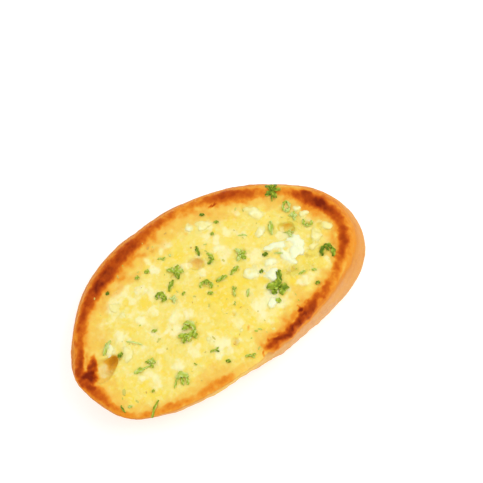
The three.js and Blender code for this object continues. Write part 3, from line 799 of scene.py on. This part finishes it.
def cut_holes(bread):
    """Cuts the air holes of both faces and makes the surface even and fine."""
    loaf = bpy.context.scene.slice_loaf
    bubbles = bpy.data.collections.new("air_holes")
    bpy.context.scene.collection.children.link(bubbles)
    upper = [(hole, 0.0, loaf.thickness - 0.3 * loaf.sink) for hole in (*HOLES, *small_holes())]
    lower = [
        ((x, y, length, length * (0.6 + 0.3 * slim), length * 0.4, turn), 1.0, 0.0)
        for x, y, length, slim, turn in spread_places(BASE_HOLES, [(0, 0, 0)])
    ]
    for (x, y, length, width, depth, turn), level, z in upper + lower:
        place = leaned(np.array([[x, y]]) * MM, np.array([level]))[0]
        bubble = add_hole(*place, z, length * MM, width * MM, depth * MM, turn)
        for home in bubble.users_collection:
            home.objects.unlink(bubble)
        bubbles.objects.link(bubble)
    apply_modifier(bread, "BOOLEAN", solver="MANIFOLD", operand_type="COLLECTION", collection=bubbles)
    for bubble in list(bubbles.objects):
        bpy.data.objects.remove(bubble)
    bpy.data.collections.remove(bubbles)
    apply_modifier(bread, "REMESH", mode="VOXEL", voxel_size=loaf.grain)
    apply_modifier(bread, "SMOOTH", factor=0.5, iterations=4)


def face_shares(points, normals, place):
    """How much each point belongs to the upper face, to the lower face and to the crust."""
    top = points[:, 2] > 0.5 * bpy.context.scene.slice_loaf.thickness
    within = smoothstep(0.6 * MM, 2.2 * MM, place.to_rim)
    upper = top * np.maximum(within, smoothstep(0.35, 0.85, normals[:, 2]))
    lower = ~top * np.maximum(within, smoothstep(0.5, 0.9, -normals[:, 2]))
    return upper, lower, np.clip(1 - upper - lower, 0, 1)


def relief(points, rows):
    """Lumps of several sizes, in metres."""
    return sum(height * MM * lumps(points, size, octaves) for size, height, octaves in rows)


def rim_wear(points, place, inside):
    """How far the upper rim is torn and worn in, in metres."""
    torn = sum(depth * MM * nearness(place.angle, at, span) for at, span, depth in RIM_TEARS)
    worn = sum(share * nearness(place.angle, at, span) for at, span, share in RIM_WEAR)
    torn += MM * 0.4 * lumps(points, 2.2, 2) * worn
    return torn * (1 - smoothstep(0, 0.25, place.depth)) * (1 - inside)


def curds(flat):
    """Rounded lumps with grooves between them, from 0 in a groove to 1, at flat places in metres."""
    points = np.column_stack([flat, np.zeros(len(flat))])
    sway = np.column_stack([lumps(points + shift, 3.0, 2) for shift in (0.3, 0.5, 0.7)])
    swayed = points / (2.9 * MM) + 0.55 * sway
    near = [noise.voronoi(Vector(p))[0] for p in swayed]
    return smoothstep(0.0, 0.5, np.array([second - first for first, second, *_ in near]))


def swayed_flat(points, place):
    """Places on the cut face in mm, swayed so that round patches come out uneven."""
    sway = np.column_stack([lumps(points + shift, 2.6, 2) for shift in (0.2, 0.4)])
    return place.flat / MM + 1.1 * sway


def crumb_relief(points, place, inside, curd):
    """How far the upper face rises, in metres: crumb, curds and swells of butter, sunk in the rim."""
    crumb = relief(points, CRUMB_RELIEF) * (0.4 + 0.6 * inside)
    crumb += MM * 0.34 * (curd - 0.7) * inside * smoothstep(-0.5, 0.4, lumps(points, 7))
    crumb += MM * 0.24 * lumps(points, 2, 2) * (1 - inside)
    swells = [
        (x, y, 1.1 * length, 1.1 * width, turn, 0.7 * height)
        for x, y, length, width, height, turn in CREAM_LUMPS
    ]
    swells += [
        (x, y, 1.7 * length, 1.9 * width, turn, 0.45 * height)
        for x, y, length, width, height, turn, _ in GARLIC
    ]
    crumb += MM * summed(swayed_flat(points, place), swells)
    return crumb - bpy.context.scene.slice_loaf.sink * inside


LoafForm = namedtuple("LoafForm", "place upper lower crust curd below")


def shape_relief(bread):
    """Sinks the crumb in its rim and makes crumb, rim and crust uneven. Returns what the masks need."""
    loaf = bpy.context.scene.slice_loaf
    points = points_of(bread.data)
    normals = points_of(bread.data, "vertex_normals", "vector")
    place = loaf_place(points)
    upper, lower, crust = face_shares(points, normals, place)
    inside = smoothstep(0, loaf.rim_width, place.to_rim)
    curd = curds(place.flat)
    below = (loaf.thickness - points[:, 2]) / MM
    crumb = crumb_relief(points, place, inside, curd)
    skin = relief(points, CRUST_RELIEF)
    skin += MM * lumps(points, 2.6, 2) * (0.1 + 0.3 * nearness(place.angle, *ROUGH_CRUST))
    wear = rim_wear(points, place, inside)
    dimples = MM * 0.25 * np.abs(lumps(points, 3.6))
    outward = leaned(place.flat, place.depth) - leaned(np.zeros_like(place.flat), place.depth)
    outward /= np.linalg.norm(outward, axis=1)[:, None] + 1e-9
    points += normals * (crust * skin)[:, None]
    points[:, :2] -= outward * wear[:, None]
    points[:, 2] += upper * crumb
    points[:, 2] += lower * dimples * smoothstep(0, 6 * MM, np.hypot(*points[:, :2].T))
    points[:, 2] = np.maximum(points[:, 2], 0)
    set_points(bread.data, points)
    return LoafForm(place, upper, lower, crust, curd, below)


def toast_share(points, place):
    """How far the face is toasted, from 0 to about 1: a band along the rim that fades inwards."""
    angles, strengths, widths, lines = np.array(TOAST_ROUND_RIM).T
    turn = np.degrees(place.angle)
    strength, width, line = (np.interp(turn, angles, row, period=360) for row in (strengths, widths, lines))
    ragged = 0.6 * lumps(points, 3.4, 2) + 0.4 * lumps(points, 1.3, 2)
    ragged *= 1 + 0.9 * nearness(place.angle, *RAGGED_RIM)
    past = place.to_rim / MM + ragged - line
    band = strength * (1 - smoothstep(0.1 * width, width, past)) * (1 - 0.5 * smoothstep(0, 2.5, -past))
    band *= 1 + 0.25 * lumps(points, 2.4, 3)
    reach = 1.4 * width + 3 + 2.5 * np.maximum(np.sin(place.angle), 0)
    fade = np.clip((past + 1.5 * lumps(points, 5, 2) - 0.5 * width) / (reach - 0.5 * width), 0, 1)
    glow = 0.41 * np.sqrt(strength) * (1 - fade) * (0.9 + 0.45 * lumps(points, 3, 2))
    glow *= 1 + sum(share * nearness(place.angle, at, span) for at, span, share in GLOWING_RIM)
    toast = np.maximum(band, glow)
    flat = swayed_flat(points, place)
    for *ellipse, spared in SPARED_SPOTS:
        toast *= 1 - spared * soft_ellipse(flat, *ellipse)
    burnt = [(x, y, 1.25 * length, 1.25 * breadth, *rest) for x, y, length, breadth, *rest in BURNT_SPOTS]
    return np.maximum(toast, strongest(flat, burnt, core=0.1))


def hole_shades(flat, below):
    """Painted shade inside the air holes, tan and golden, from places and depths below the face in mm:
    deeper is darker.
    """
    # Every recess more than 1 mm below the face gets painted shade, except near the listed holes.
    tan = 0.4 * smoothstep(1.0, 2.0, below)
    gold = np.zeros(len(flat))
    for x, y, length, width, _, turn in HOLES:
        tan *= 1 - soft_ellipse(flat, x, y, 1.8 * length, 1.8 * width, turn, 0.7)
    for x, y, length, width, turn, recess_shade_share, deep_shade_share in HOLE_SHADES:
        shade_here = soft_ellipse(flat, x, y, 1.2 * length, 1.2 * width, turn, 0.0)
        # The painted shade grows with depth below the face.
        shade_here *= smoothstep(0.15, 1.6, below)
        tan = np.maximum(tan, recess_shade_share * shade_here)
        gold = np.maximum(gold, deep_shade_share * shade_here)
    return tan, gold


def cream_share(points, flat, pool, off_rim):
    """How far pale butter and garlic cover the crumb."""
    cream = 0.7 * smoothstep(-0.05, 0.55, lumps(points + 0.1, 5, 3)) * (1 - pool) * off_rim
    cream += summed(flat, CREAM_SMEARS) * (0.7 + 0.6 * lumps(points, 3, 2))
    dabs = [(x, y, 1.4 * length, 1.6 * width, turn, 1) for x, y, length, width, _, turn in CREAM_LUMPS]
    cream = np.maximum(cream, strongest(flat, dabs) * (0.75 + 0.5 * lumps(points, 2.2, 2)))
    halos = [
        (x, y, 1.35 * length, 1.5 * width, turn, 0.4 + 0.5 * white)
        for x, y, length, width, _, turn, white in GARLIC
    ]
    return np.maximum(cream, strongest(flat, halos))


def herbal_share(points, flat):
    """How far the herbs tint the butter."""
    faint = 0.3 * smoothstep(0, 0.6, lumps(points + 0.2, 4, 3))
    stains = strongest(flat, HERB_STAINS, core=0.1) * (0.8 + 0.6 * lumps(points, 4, 3))
    leaves = [(x, y, 1.7 * length, 1.9 * width, turn, 0.75) for x, y, length, width, turn, *_ in PARSLEY]
    return np.max([faint, stains, strongest(flat, leaves, core=0.1)], axis=0)


def paint_masks(bread, form):
    """Stores where the bread is crust, toasted, buttery or creamy, and where the air holes get painted
    shade.
    """
    loaf = bpy.context.scene.slice_loaf
    place, upper = form.place, form.upper
    points = points_of(bread.data)
    flat = swayed_flat(points, place)
    pool = strongest(flat, BUTTER_POOLS, core=0.1)
    butter = 0.8 * pool + 0.25 * (1 - form.curd) + 0.55 * smoothstep(-0.1, 0.6, lumps(points, 5, 3))
    off_rim = smoothstep(3.5, 10, place.to_rim / MM)
    tan, gold = hole_shades(flat, form.below)
    inner = upper * smoothstep(3 * MM, 5 * MM, place.to_rim)
    shoulder = 0.8 * (1 - smoothstep(0, 0.22, place.depth))
    golden = 0.5 * nearness(place.angle, *GOLDEN_CRUST)
    round_loaf = np.column_stack([place.angle * 0.05, 2 * place.depth * loaf.thickness, np.zeros(len(flat))])
    masks = {
        "toast": toast_share(points, place) * np.clip(upper + shoulder, 0, 1),
        "butter": np.clip(butter, 0, 1),
        "cream": np.clip(cream_share(points, flat, pool, off_rim), 0, 1),
        "herbal": np.clip(herbal_share(points, flat) * off_rim, 0, 1),
        "crust": form.crust,
        "base": smoothstep(0.55, 1.05, -place.flat[:, 1] / loaf.base_drop),
        # Painted shade inside the air holes.
        "tan": inner * tan,
        "hollow": np.clip(inner * gold, 0, 1),
        "buttered": nearness(place.angle, *BUTTERED_CRUST) * (1 - smoothstep(0.1, 0.5, place.depth)),
        "lower": form.lower,
        "streak": 0.5 + 0.45 * lumps(round_loaf, 7, 4) + 0.35 * (place.depth - 0.5) + golden,
    }
    for name, values in masks.items():
        add_mask(bread.data, name, values)


def crumb_colour(bread, tone, mask, fine, coarse):
    """Buttered crumb with herbal and creamy places, and painted shade inside the air holes."""
    herbal, hollow = mask["herbal"], mask["hollow"]
    crumb = bread.mix(mask["butter"] + (coarse - 0.5) * 0.5, tone["crumb"], tone["butter"])
    crumb = bread.mix(bread.step(herbal + (coarse - 0.5) * 0.6, 0.1, 0.9) * 0.8, crumb, tone["herbal"])
    mottle = bread.step(bread.grain(2.8) + herbal * 0.16, 0.6, 0.74)
    crumb = bread.mix(mottle * bread.step(herbal, 0.1, 0.7) * 0.75, crumb, tone["mottle"])
    crumb = bread.mix(bread.step(bread.grain(1.9), 0.54, 0.64) * 0.5, crumb, tone["butter"])
    crumb = bread.mix(bread.step(bread.grain(1.6), 0.55, 0.63) * 0.28, crumb, tone["cream"])
    creamy = bread.step(mask["cream"] + (coarse - 0.5) * 0.6 + (fine - 0.5) * 0.4, 0.1, 1.0)
    crumb = bread.mix(creamy, crumb, tone["cream"])
    # Painted shade in the air holes: tan where shallow, amber and golden brown where deepest.
    crumb = bread.mix(mask["tan"], crumb, tone["dish"])
    crumb = bread.mix(bread.step(hollow, 0.0, 0.6), crumb, tone["amber"])
    return bread.mix(bread.step(hollow, 0.55, 1.0), crumb, tone["hollow"])


def crust_colour(bread, tone, mask, fine, coarse):
    """Golden to brown crust with dry patches, flour and butter."""
    base, streak = mask["base"], mask["streak"]
    blotch = bread.grain(6)
    skin = bread.mix(base, tone["crown"], tone["base"])
    skin = bread.mix(bread.step(streak + (blotch - 0.5) * 0.8, 0.35, 0.9) * 0.65, skin, tone["crust_pale"])
    dry = bread.step(fine * 0.5 + coarse * 0.5 - (streak - 0.5) * 0.4, 0.48, 0.72)
    skin = bread.mix(dry * (0.4 - base * 0.18), skin, tone["crust_dark"])
    flour = bread.step(bread.grain(0.8) + (blotch - 0.5) * 0.2, 0.58, 0.7)
    skin = bread.mix(flour * 0.22, skin, tone["flour"])
    return bread.mix(mask["buttered"] * 0.85, skin, bread.mix(coarse * 0.5, tone["gold"], tone["crumb"]))


def bread_material():
    """Buttered crumb, toasted rim and golden crust."""
    colours = bpy.context.scene.slice_colours
    tone = {name: linear(getattr(colours, name)) for name in BreadColours.__annotations__}
    bread = Shader("buttered_bread")
    mask = {name: bread.mask(name) for name in BREAD_MASKS}
    toast, butter, crust = mask["toast"], mask["butter"], mask["crust"]
    fine, coarse = bread.grain(0.9, 3), bread.grain(2.4, 3)
    browning = toast + (fine - 0.5) * 0.16 + (coarse - 0.5) * 0.16
    dark = [(0.54, tone["rust"]), (0.72, tone["brown"]), (1.0, tone["char"])]
    browned = bread.ramp(browning, [(0.12, tone["gold"]), (0.38, tone["orange"]), *dark])
    scorched = bread.ramp(browning, [(0.12, tone["crown"]), (0.36, tone["orange"]), *dark])
    warm = bread.step(toast + (coarse - 0.5) * 0.24 - mask["cream"] * 0.1, 0.0, 0.2)
    face = bread.mix(warm * 0.85, crumb_colour(bread, tone, mask, fine, coarse), tone["gold"])
    face = bread.mix(bread.step(toast, 0.16, 0.34), face, browned)
    face = bread.mix(mask["lower"] * 0.55, face, tone["gold"])
    skin = crust_colour(bread, tone, mask, fine, coarse)
    skin = bread.mix(bread.step(toast, 0.06, 0.32) * 0.9, skin, scorched)
    moist = (1 - crust) * (1 - bread.step(toast, 0.1, 0.4)) * (0.04 + butter * 0.16)
    bread.finish(
        Base_Color=bread.mix(bread.step(crust, 0.0, 0.45), face, skin),
        Roughness=0.6 - butter * 0.15 + crust * 0.08,
        Coat_Weight=moist + crust * 0.08,
        Normal=bread.bump(fine * 0.6 + coarse * 0.4 + crust * bread.grain(0.5) * 0.5, 0.5, 0.5),
    )
    return bread.finish(
        Subsurface_Weight=0.2,
        Subsurface_Scale=1.4 * MM,
        Subsurface_Radius=(1.0, 0.6, 0.25),
        Coat_Roughness=0.3,
        Specular_IOR_Level=0.06,
    )


# Garlic


def garlic_template():
    """A fine ball, whose points are the directions in which a chip of garlic is cut."""
    deselect()
    bpy.ops.mesh.primitive_ico_sphere_add(subdivisions=4, radius=1)
    return take_shape(bpy.context.active_object)


def garlic_chip(directions, piece, draw):
    """One chopped chip with rounded edges. Its points are in metres about its own middle."""
    _, _, length, width, height, turn, _ = piece
    reach = np.zeros(len(directions))
    sharp = 3 + 4 * next(draw)
    cuts = 10
    for n in range(cuts):
        up = 1 - 2 * (n + 0.5) / cuts
        round_about = n * GOLDEN_TURN + 1.2 * next(draw)
        level = math.sqrt(1 - up * up)
        cut = np.array([level * math.cos(round_about), level * math.sin(round_about), up])
        reach += np.maximum(directions @ cut / (0.72 + 0.28 * next(draw)), 0) ** sharp
    points = directions * (reach ** (-1 / sharp))[:, None]
    points /= np.abs(points).max(axis=0)
    points *= np.array([0.62 * length, 0.64 * width, height]) * MM
    shift = 0.1 * np.array([next(draw), next(draw), next(draw)])
    points *= 1 + 0.45 * lumps(points + shift, 2.2, 3)[:, None]
    points[:, :2] = spin(points[:, :2], math.radians(turn))
    return points


def scatter_garlic():
    """Lays chips of garlic in the butter and melts them together where they touch."""
    draw = stream(GARLIC_SEED)
    directions, faces = garlic_template()
    pieces = [*GARLIC, *garlic_bits()]
    places, heights = surface_heights(np.array([piece[:2] for piece in pieces]) * MM)
    shapes = []
    for piece, place, height in zip(pieces, places, heights):
        points = garlic_chip(directions, piece, draw)
        shapes.append((points + np.array([*place, height - 0.5 * piece[4] * MM]), faces))
    garlic = joined_mesh("minced_garlic", shapes)
    apply_modifier(garlic, "REMESH", mode="VOXEL", voxel_size=GARLIC_GRAIN * MM)
    apply_modifier(garlic, "SMOOTH", factor=0.5, iterations=6)
    paint_garlic(garlic, pieces)
    finish_piece(garlic, garlic_material())


def paint_garlic(garlic, pieces):
    """Stores how far the garlic stands out of the butter, in mm, and how white it is."""
    points = points_of(garlic.data)
    flat = points[:, :2] + np.array(bpy.context.scene.slice_loaf.slant)
    _, heights = surface_heights(flat)
    spots = [
        (x, y, 1.6 * length, 1.6 * width, turn, white) for x, y, length, width, _, turn, white in pieces
    ]
    add_mask(garlic.data, "lift", (points[:, 2] - heights) / MM)
    add_mask(garlic.data, "white", strongest(flat / MM, spots, core=0.6))


def garlic_material():
    """Moist garlic, with butter running up its sides."""
    colours = bpy.context.scene.slice_toppings
    garlic = Shader("moist_garlic")
    lift, white = garlic.mask("lift"), garlic.mask("white")
    coarse = garlic.grain(1.6, 3)
    bare = garlic.step(lift * 0.9 + (white - 0.6) * 1.3 + (coarse - 0.5) * 0.9, -0.1, 0.9)
    colour = garlic.mix(bare, linear(colours.garlic_butter), linear(colours.garlic))
    clear = garlic.step(lift * 1.5 + white * 0.7 + (coarse - 0.5) * 0.6, 0.0, 0.75)
    colour = garlic.mix(clear, linear(colours.film), colour)
    garlic.finish(Base_Color=colour, Roughness=0.36 + coarse * 0.15, Normal=garlic.bump(coarse, 0.2, 0.35))
    return garlic.finish(
        Subsurface_Weight=0.4,
        Subsurface_Scale=1.6 * MM,
        Subsurface_Radius=(1.0, 0.85, 0.5),
        Coat_Weight=0.2,
        Coat_Roughness=0.2,
    )


# Parsley


def ribbon_template():
    """A flat grid that becomes a leaf's lobe: shares along it, across it, and its faces."""
    deselect()
    bpy.ops.mesh.primitive_grid_add(x_subdivisions=10, y_subdivisions=4, size=1)
    points, faces = take_shape(bpy.context.active_object)
    return points[:, 0] + 0.5, 2 * points[:, 1], faces


def lobe(template, stroke, length, width, draw):
    """A crinkled, cupped lobe along a bent stroke. In mm, with a shade for each point that carries painted
    highlight and shade.
    """
    u, v, _ = template
    ends = np.array(stroke[:6]).reshape(3, 2) * np.array([length, width])
    ends += 0.05 * math.sqrt(length * width) * np.array([next(draw) - 0.5 for _ in range(6)]).reshape(3, 2)
    start, bend, end = ends
    middle = np.outer((1 - u) ** 2, start) + np.outer(2 * u * (1 - u), bend) + np.outer(u * u, end)
    along = np.outer(1 - u, bend - start) + np.outer(u, end - bend)
    along /= np.linalg.norm(along, axis=1)[:, None] + 1e-9
    across = np.column_stack([-along[:, 1], along[:, 0]])
    broad = 0.92 * stroke[6] * math.sqrt(length * width)
    phase, bumps = 6.28 * next(draw), 1.5 + 1.5 * next(draw)
    half = 0.5 * broad * np.sin(math.pi * (0.05 + 0.9 * u)) ** 0.5
    half *= 1 + 0.25 * np.sin(2 * math.pi * bumps * u + phase + 0.9 * v)
    points = middle + across * (half * v)[:, None]
    cup = (0.5 * next(draw) - 0.1) * v * v
    crinkle = 0.16 * np.sin(8 * u + phase) * v + 0.1 * np.sin(13 * u + 2 * phase) * (1 - v * v)
    rise = broad * (cup + crinkle) + 0.35 * next(draw) * broad * (4 * u * (1 - u))
    # Paler towards the edges, a painted highlight, and paler where the crinkle rises and darker where it
    # dips, painted shade; with a random tone for each lobe.
    shade = 0.37 + 0.15 * np.abs(v) + 0.25 * np.sin(8 * u + phase) * v + 0.3 * (next(draw) - 0.5)
    return np.column_stack([points, rise]), shade


def leaf_shapes(template, piece, draw):
    """The lobes of one piece of parsley, set down at its place on the face. In mm."""
    x, y, length, width, turn, form, pale = piece
    shapes, shades = [], []
    for layer, stroke in enumerate(LEAF_FORMS[form]):
        points, shade = lobe(template, stroke, length, width, draw)
        points[:, :2] = spin(points[:, :2], math.radians(turn))
        points += np.array([x, y, 0.05 * layer])
        shapes.append((points, template[2]))
        shades.append(np.clip(shade + 0.9 * (pale - 0.45), 0, 1))
    return shapes, shades


def scatter_leaves(name, pieces, seed):
    """Lays leaves on the bread, sunk a little in its butter."""
    draw = stream(seed)
    template = ribbon_template()
    shapes, shades = [], []
    for piece in pieces:
        leaf, tints = leaf_shapes(template, piece, draw)
        shapes += leaf
        shades += tints
    leaves = joined_mesh(name, shapes, [("shade", shades)])
    points = points_of(leaves.data)
    points[:, :2], heights = surface_heights(points[:, :2] * MM, ("bread", "minced_garlic"))
    points[:, 2] = heights + (LEAF_THICKNESS + np.clip(points[:, 2], -0.15, 1.0)) * MM
    set_points(leaves.data, points)
    apply_modifier(leaves, "SOLIDIFY", thickness=LEAF_THICKNESS * MM, offset=0)
    return leaves


def parsley_material():
    """Green leaf with painted shade in its folds and a painted highlight along its edges, over darker and
    paler leaves.
    """
    colours = bpy.context.scene.slice_toppings
    parsley = Shader("parsley_leaf")
    coarse = parsley.grain(0.8)
    shade = parsley.mask("shade") + (coarse - 0.5) * 0.3 + (parsley.grain(2.2, 1) - 0.5) * 0.5
    tones = ((0.05, colours.leaf_dark_and_fold_shade), (0.45, colours.leaf), (0.95, colours.leaf_pale_and_edge_highlight))
    colour = parsley.ramp(shade, [(at, linear(tone)) for at, tone in tones])
    parsley.finish(Base_Color=colour, Roughness=0.45 + coarse * 0.2, Normal=parsley.bump(coarse, 0.1, 0.5))
    return parsley.finish(Subsurface_Weight=0.15, Subsurface_Scale=0.5 * MM, Specular_IOR_Level=0.2)


# Herb specks


def scatter_specks():
    """Tiny dry flakes of herb and toasted crumb, half sunk in the butter."""
    draw = stream(HERB_SPECKS.seed + 1)
    deselect()
    bpy.ops.mesh.primitive_ico_sphere_add(subdivisions=2, radius=0.5)
    template, faces = take_shape(bpy.context.active_object)
    dark = [spot for spot in BURNT_SPOTS if spot[5] > 0.8]
    spots = spread_places(HERB_SPECKS, [*HOLES, *GARLIC, *dark])
    specks = [(x, y, length, 0.3 + 0.4 * slim, turn, next(draw)) for x, y, length, slim, turn in spots]
    specks += [(x, y, length, 0.5, 180 * next(draw), kind) for x, y, length, kind in HERB_DABS]
    places, heights = surface_heights(np.array([speck[:2] for speck in specks]) * MM)
    shapes, kinds = [], []
    for (_, _, length, slim, turn, kind), place, height in zip(specks, places, heights):
        points = template * np.array([length, length * slim, 0.2]) * MM
        points *= 1 + 0.5 * lumps(points + next(draw), 0.6, 2)[:, None]
        points[:, :2] = spin(points[:, :2], math.radians(turn))
        shapes.append((points + np.array([*place, height]), faces))
        kinds.append(np.full(len(points), kind))
    piece = joined_mesh("herb_specks", shapes, [("kind", kinds)])
    finish_piece(piece, speck_material())


def speck_material():
    """Dry herb, with some toasted crumbs among it."""
    colours = bpy.context.scene.slice_toppings
    speck = Shader("herb_speck")
    kind = speck.mask("kind")
    colour = speck.mix(speck.step(kind, 0.05, 0.25), linear(colours.leaf), linear(colours.speck_green))
    colour = speck.mix(speck.step(kind, 0.6, 0.9), colour, linear(colours.speck_brown))
    return speck.finish(Base_Color=colour, Roughness=0.6 + speck.grain(0.4) * 0.2)


# Stage


def set_floor(stage):
    deselect()
    bpy.ops.mesh.primitive_plane_add(size=4)
    floor = bpy.context.active_object
    floor.name = "floor"
    matt = Shader("matt_floor")
    matt.finish(Base_Color=linear(stage.floor), Roughness=0.85 + matt.grain(40) * 0.1)
    matt.finish(Emission_Color=linear(stage.floor), Emission_Strength=stage.floor_glow)
    floor.data.materials.append(matt.material)


def add_lamp(name, place, size, power):
    """A soft square lamp that faces the slice. Its place is in metres."""
    lamp = bpy.data.lights.new(name, "AREA")
    lamp.shape = "SQUARE"
    lamp.size = size
    lamp.energy = power
    holder = bpy.data.objects.new(name, lamp)
    holder.location = place
    holder.rotation_euler = (-Vector(place)).to_track_quat("-Z", "Y").to_euler()
    bpy.context.scene.collection.objects.link(holder)


def set_lights(stage):
    world = bpy.data.worlds.new("studio")
    world.use_nodes = True
    sky = world.node_tree.nodes["Background"]
    sky.inputs["Color"].default_value = (1, 1, 1, 1)
    sky.inputs["Strength"].default_value = stage.sky_strength
    bpy.context.scene.world = world
    add_lamp("key_lamp", *KEY_LAMP, stage.key_power)
    add_lamp("fill_lamp", *FILL_LAMP, stage.fill_power)


def set_camera(stage):
    back = Vector((
        math.sin(stage.azimuth) * math.cos(stage.elevation),
        -math.cos(stage.azimuth) * math.cos(stage.elevation),
        math.sin(stage.elevation),
    ))
    lens = bpy.data.cameras.new("camera")
    lens.lens = stage.lens
    lens.sensor_width = SENSOR_WIDTH
    lens.clip_start = 10 * MM
    camera = bpy.data.objects.new("camera", lens)
    camera.location = Vector(stage.aim) + back * stage.distance
    camera.rotation_euler = (-back).to_track_quat("-Z", "Y").to_euler()
    bpy.context.scene.collection.objects.link(camera)
    bpy.context.scene.camera = camera


# Operators, panel and registration


class SLICE_OT_stage(bpy.types.Operator):
    """Sets the floor, lights and camera"""

    bl_idname = "slice.stage"
    bl_label = "Set Stage"

    def execute(self, context):
        stage = context.scene.slice_stage
        context.scene.view_settings.view_transform = "Standard"
        set_floor(stage)
        set_lights(stage)
        set_camera(stage)
        return {"FINISHED"}


class SLICE_OT_bread(bpy.types.Operator):
    """Makes the bread with its crumb, toasted rim and crust"""

    bl_idname = "slice.bread"
    bl_label = "Bake Bread"

    def execute(self, context):
        bread = model_loaf()
        cut_holes(bread)
        paint_masks(bread, shape_relief(bread))
        finish_piece(bread, bread_material())
        return {"FINISHED"}


class SLICE_OT_garlic(bpy.types.Operator):
    """Sets minced garlic in the butter"""

    bl_idname = "slice.garlic"
    bl_label = "Scatter Garlic"

    def execute(self, context):
        scatter_garlic()
        return {"FINISHED"}


class SLICE_OT_parsley(bpy.types.Operator):
    """Lays chopped parsley and herb specks on the butter"""

    bl_idname = "slice.parsley"
    bl_label = "Scatter Parsley"

    def execute(self, context):
        material = parsley_material()
        finish_piece(scatter_leaves("parsley_leaves", PARSLEY, LEAF_SEED), material)
        finish_piece(scatter_leaves("parsley_flecks", parsley_flecks(), FLECK_SEED), material)
        scatter_specks()
        return {"FINISHED"}


OPERATORS = (SLICE_OT_stage, SLICE_OT_bread, SLICE_OT_garlic, SLICE_OT_parsley)


class SLICE_PT_panel(bpy.types.Panel):
    """Lists the steps that make the slice"""

    bl_idname = "SLICE_PT_panel"
    bl_label = "Garlic Bread"
    bl_space_type = "VIEW_3D"
    bl_region_type = "UI"
    bl_category = "Garlic Bread"

    def draw(self, context):
        for group, kind in GROUPS.items():
            box = self.layout.box()
            for name in kind.__annotations__:
                box.prop(getattr(context.scene, group), name)
        for operator in OPERATORS:
            self.layout.operator(operator.bl_idname)


CLASSES = (*GROUPS.values(), *OPERATORS, SLICE_PT_panel)


def register():
    for kind in CLASSES:
        bpy.utils.register_class(kind)
    for group, kind in GROUPS.items():
        setattr(bpy.types.Scene, group, PointerProperty(type=kind))


def unregister():
    for group in GROUPS:
        delattr(bpy.types.Scene, group)
    for kind in reversed(CLASSES):
        bpy.utils.unregister_class(kind)


def main():
    register()
    bpy.ops.slice.stage()
    bpy.ops.slice.bread()
    bpy.ops.slice.garlic()
    bpy.ops.slice.parsley()


if __name__ == "__main__":
    main()
